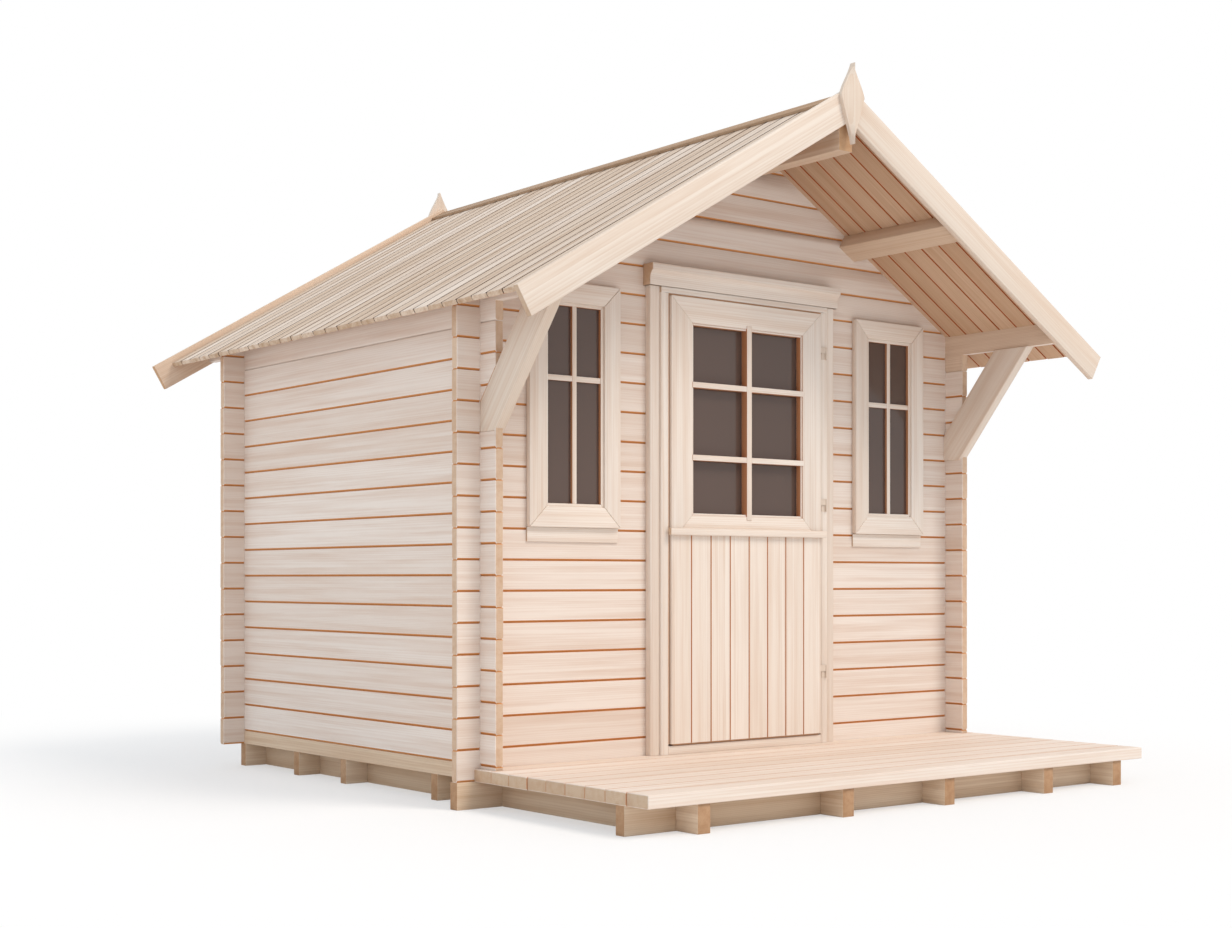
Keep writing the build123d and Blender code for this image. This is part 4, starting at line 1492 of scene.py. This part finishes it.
@dataclass
class Door:
    """The leaf on its hinges, its frame, casing and cornice."""

    rows: RowTree
    finishes: Finishes
    gap: float = 0.008
    strip_width: float = 0.006
    strip_edge: float = 0.001
    strip_setback: float = 0.0108
    strip_from_back: float = 0.002
    sweep_proud: float = 0.004
    sweep_short: float = 0.012
    casing_edge: float = 0.0018
    sill_edge: float = 0.002
    ledge_edge: float = 0.0025
    bead_width: float = 0.008
    bead_setback: float = 0.004
    bead_edge: float = 0.002
    bar_half: float = 0.013
    cross_half: float = 0.011
    cross_setback: float = 0.03
    cross_shares: tuple[float, float] = (0.68, 0.301)
    bar_proud: float = 0.003
    bar_lap: float = 0.006
    head_lap: float = 0.012
    foot_lap: float = 0.015
    panel_boards: int = 8
    panel_bevel: float = 0.0025
    panel_joint: float = 0.0008
    panel_chamfer: float = 0.001
    panel_room: float = 0.0005

    def __post_init__(self) -> None:
        """Reads the door's place from the frame."""
        self.material = self.finishes.of["joinery"]
        low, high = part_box("door_upper_frame")
        self.leaf = Rectangle.around("door_upper_frame")
        self.leaf_front, self.leaf_back = low.y, high.y
        low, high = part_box("door_glass")
        self.glass = Rectangle.around("door_glass")
        self.glass_front, self.glass_back = low.y, high.y

    def build(self) -> None:
        """Builds the fixed surround, then all that swings."""
        head_low = self.leaf.high + self.gap
        head_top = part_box("door_frame")[1].z
        surround = (
            ("door_frame_timber", "door_frame", SOFT_EDGE, (head_low,)),
            ("door_sill_timber", "door_sill", self.sill_edge, ()),
            ("door_casing_boards", "door_casing", self.casing_edge, (head_top,)),
        )
        for seed, (name, node, reach, levels) in enumerate(surround, start=151):
            piece = planed_copy(name, node, self.material, seed, reach, levels=levels)
            stand_for(piece, "shed", "joinery", node)
        self.build_strips(head_low)
        self.build_upper_frame()
        self.build_bars()
        self.build_lower_panel()
        piece = planed_copy("door_ledge_board", "door_ledge", self.material, 161, self.ledge_edge)
        stand_for(piece, "door", "joinery", "door_ledge")
        finish_node("door_glass", self.finishes.of["pane"])
        finish_node("hinge_pins", self.finishes.of["hinge_steel"])
        finish_node("hinge_straps", self.finishes.of["hinge_steel"])

    def build_strips(self, head_low: float) -> None:
        """Draught strips in the gap round the leaf: three on the frame, and a sweep under the leaf.

        Args:
            head_low: The underside of the frame's head.
        """
        leaf, width, edge = self.leaf, self.strip_width, self.strip_edge
        # The strips' tan is painted shade in the gap round the leaf
        gap_shade = self.finishes.of["draught_strip"]
        front, back = self.leaf_front + self.strip_setback, self.leaf_back - self.strip_from_back
        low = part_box("door_lower_panel")[0].z
        jamb = leaf.right + self.gap
        work = bmesh.new()
        for side in Side:
            strip = Rectangle(*side.span(jamb, jamb - width), low, head_low)
            cut_board(work, strip.corners(), front, back, edge)
        head = Rectangle(-jamb + width, jamb - width, head_low - width, head_low)
        cut_board(work, head.corners(), front, back, edge)
        piece = new_piece("frame_draught_strips", work, gap_shade, 155)
        stand_for(piece, "shed", "joinery")
        work = bmesh.new()
        sweep = Rectangle(leaf.left + self.sweep_short, leaf.right - self.sweep_short, low - width, low)
        cut_board(work, sweep.corners(), front - self.sweep_proud, back, edge)
        piece = new_piece("door_sweep", work, gap_shade, 157)
        stand_for(piece, "door", "joinery")

    def build_upper_frame(self) -> None:
        """Stiles and rails, mitred at the corners of the glass, and the beads round it."""
        leaf, glass, gap = self.leaf, self.glass, MITRE_GAP
        rail = glass.low - leaf.low
        foot_left, foot_right = glass.left - rail, glass.right + rail
        stile = (
            (leaf.left, leaf.low),
            (foot_left - gap, leaf.low),
            (glass.left, glass.low + gap),
            (glass.left, glass.high - gap),
            (leaf.left, leaf.high - gap),
        )
        mirrored = tuple((-x, z) for x, z in reversed(stile))
        top_rail = (
            (glass.left + gap, glass.high),
            (glass.right - gap, glass.high),
            (leaf.right - gap, leaf.high),
            (leaf.left + gap, leaf.high),
        )
        foot_rail = (
            (foot_left + gap, leaf.low),
            (foot_right - gap, leaf.low),
            (glass.right - gap, glass.low),
            (glass.left + gap, glass.low),
        )
        work = bmesh.new()
        for outline in (stile, mirrored, top_rail, foot_rail):
            cut_board(work, outline, self.leaf_front, self.leaf_back, SOFT_EDGE)
        piece = new_piece("door_upper_frame_timber", work, self.material, 171)
        tint_reveals(piece, glass.grown(0.001))
        stand_for(piece, "door", "joinery", "door_upper_frame")

        work = bmesh.new()
        opening, front = glass.grown(-self.bead_width), self.leaf_front + self.bead_setback
        mitred_frame(work, glass, opening, front, self.glass_front, self.bead_edge)
        piece = new_piece("door_glass_beads", work, self.material, 173)
        tint_reveals(piece)
        stand_for(piece, "door", "joinery")

    def build_bars(self) -> None:
        """One upright bar and two cross bars, which lap the leaf's front a little, and others inside."""
        glass, half, back = self.glass, self.bar_half, self.cross_setback
        height, reach = glass.high - glass.low, half + AIR_GAP
        laps = (self.bar_lap, self.foot_lap, self.head_lap)
        outer_bars = (self.leaf_front - self.bar_proud, self.glass_front, laps)
        inner_bars = (self.leaf_back, self.glass_back, (0, 0, 0))
        work = bmesh.new()
        for face, pane, (lap, foot, head) in (outer_bars, inner_bars):
            upright = Rectangle(-half, half, glass.low - foot, glass.high + head)
            cut_board(work, upright.corners(), face, pane, SOFT_EDGE)
            for share in self.cross_shares:
                middle = glass.low + share * height
                for left, right in ((glass.left, -reach), (reach, glass.right + lap)):
                    bar = Rectangle(left, right, middle - self.cross_half, middle + self.cross_half)
                    cut_board(work, bar.corners(), face * (1 - back) + pane * back, pane, SOFT_EDGE)
        piece = new_piece("door_glazing_bars", work, self.material, 175)
        tint_reveals(piece)
        stand_for(piece, "door", "joinery")

    def build_lower_panel(self) -> None:
        """Upright boards below the ledge."""
        low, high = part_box("door_lower_panel")
        count, bevel = self.panel_boards, self.panel_bevel
        pitch = (high.x - low.x) / count
        section = board_section(pitch, high.y - low.y, bevel, bevel, self.panel_joint)
        length = high.z - low.z - self.panel_room
        piece = stock("door_panel_stock", section, length, self.panel_chamfer)
        courses = Courses(turned(low, Z_AXIS, X_AXIS), Vector((0, pitch, 0)), count, 181)
        row = self.rows.lay("door_panel_boards", piece, courses, STILL, self.material)
        stand_for(row, "door", "joinery", "door_lower_panel")


@dataclass(frozen=True)
class Sun:
    """One broad lamp, far away. Its angles are in degrees: how wide it is, its height and its bearing."""

    name: str
    energy: float
    width: float
    tilt: float
    bearing: float
    colour: tuple[float, float, float]

    def light(self) -> None:
        """Hangs the lamp in the scene."""
        data = bpy.data.lights.new(self.name, "SUN")
        data.energy = self.energy
        data.angle = radians(self.width)
        data.color = self.colour
        lamp = bpy.data.objects.new(self.name, data)
        lamp.rotation_euler = (radians(self.tilt), 0, radians(self.bearing))
        bpy.context.scene.collection.objects.link(lamp)


@dataclass
class Studio:
    """Camera, lamps, sky and floor. The camera's values are what the log lines in the photograph gave."""

    photo_width: int = 1232
    horizon_shift: float = 114.2
    camera_place: tuple[float, float, float] = (-4.890, -6.0254, 0.8387)
    camera_turn: float = 38.255
    lens_mm: float = 51.84
    sensor_mm: float = 36
    view_reach: float = 200
    sky_strength: float = 0.78
    floor_radius: float = 60
    floor_corners: int = 96
    fade_start: float = 1.8
    fade_end: float = 5.0
    fade_floor: float = 0.45
    suns: tuple[Sun, ...] = (
        # A warm key from the front right, and a low cool fill from the left
        Sun("key", 1.68, 26, 40, 26, (1.0, 0.90, 0.80)),
        Sun("fill", 0.34, 70, 72, -88, (0.82, 0.91, 1.0)),
    )

    def camera(self) -> None:
        """The camera at the photograph's place, level, with its horizon shifted down."""
        lens = bpy.data.cameras.new("photograph")
        lens.sensor_width = self.sensor_mm
        lens.lens = self.lens_mm
        lens.shift_y = self.horizon_shift / self.photo_width
        lens.clip_end = self.view_reach
        camera = bpy.data.objects.new("photograph", lens)
        camera.location = self.camera_place
        camera.rotation_euler = (radians(90), 0, radians(-self.camera_turn))
        bpy.context.scene.collection.objects.link(camera)
        bpy.context.scene.camera = camera

    def sky(self) -> None:
        """An even pale sky, which is plain white where it is seen itself."""
        world = bpy.data.worlds.new("studio")
        bpy.context.scene.world = world
        world.use_nodes = True
        tree = world.node_tree
        tree.nodes.clear()
        inputs = {"Color": (0.90, 0.95, 1.0, 1.0), "Strength": self.sky_strength}
        light = add(tree, "ShaderNodeBackground", inputs)
        seen = add(tree, "ShaderNodeBackground", {"Color": (1.0, 1.0, 1.0, 1.0), "Strength": 1.0})
        path = add(tree, "ShaderNodeLightPath").outputs
        direct = path["Is Camera Ray"]
        for ray in ("Is Glossy Ray", "Is Transmission Ray"):
            inputs = {"Value": direct, "Value_001": path[ray]}
            direct = add(tree, "ShaderNodeMath", inputs, operation="MAXIMUM").outputs[0]
        inputs = {"Fac": direct, "Shader": light.outputs[0], "Shader_001": seen.outputs[0]}
        mixed = add(tree, "ShaderNodeMixShader", inputs).outputs[0]
        add(tree, "ShaderNodeOutputWorld", {"Surface": mixed})

    def floor(self) -> None:
        """A plain pale floor that fades into the white round it."""
        work = bmesh.new()
        bmesh.ops.create_circle(work, cap_ends=True, radius=self.floor_radius, segments=self.floor_corners)
        piece = in_scene("studio_floor", work)
        for face in piece.data.polygons:
            if face.normal.z < 0:
                face.flip()
        material = blank_material("studio_floor")
        piece.data.materials.append(material)
        tree = material.node_tree
        place = add(tree, "ShaderNodeTexCoord").outputs["Object"]
        distance = add(tree, "ShaderNodeVectorMath", {"Vector": place}, operation="LENGTH").outputs["Value"]
        inputs = {"Value": distance, "From Min": self.fade_start, "From Max": self.fade_end}
        inputs["To Min"] = self.fade_floor
        fade = add(tree, "ShaderNodeMapRange", inputs, interpolation_type="SMOOTHSTEP").outputs[0]
        paint = add(tree, "ShaderNodeBsdfDiffuse", {"Color": (0.90, 0.90, 0.90, 1.0)})
        glow = add(tree, "ShaderNodeEmission", {"Color": (1.0, 1.0, 1.0, 1.0), "Strength": 1.0})
        seen = add(tree, "ShaderNodeLightPath").outputs["Is Camera Ray"]
        inputs = {"Value": fade, "Value_001": seen}
        amount = add(tree, "ShaderNodeMath", inputs, operation="MULTIPLY").outputs[0]
        inputs = {"Fac": amount, "Shader": paint.outputs[0], "Shader_001": glow.outputs[0]}
        mixed = add(tree, "ShaderNodeMixShader", inputs).outputs[0]
        add(tree, "ShaderNodeOutputMaterial", {"Surface": mixed})

    def build(self) -> None:
        """Sets up the whole studio."""
        bpy.context.scene.view_settings.view_transform = "Standard"
        self.camera()
        for sun in self.suns:
            sun.light()
        self.sky()
        self.floor()


def main() -> None:
    """Builds the studio, then the shed's parts in order."""
    logging.basicConfig(level=logging.INFO, format="%(name)s: %(message)s")
    finishes = Finishes()
    rows = RowTree()
    places = Places.from_frame()
    Studio().build()
    Base(places, rows, finishes).build()
    Walls(places, rows, finishes).build()
    Roof(places, rows, finishes).build()
    for side in Side:
        Window(side, finishes).build()
    Door(rows, finishes).build()


if __name__ == "__main__":
    main()
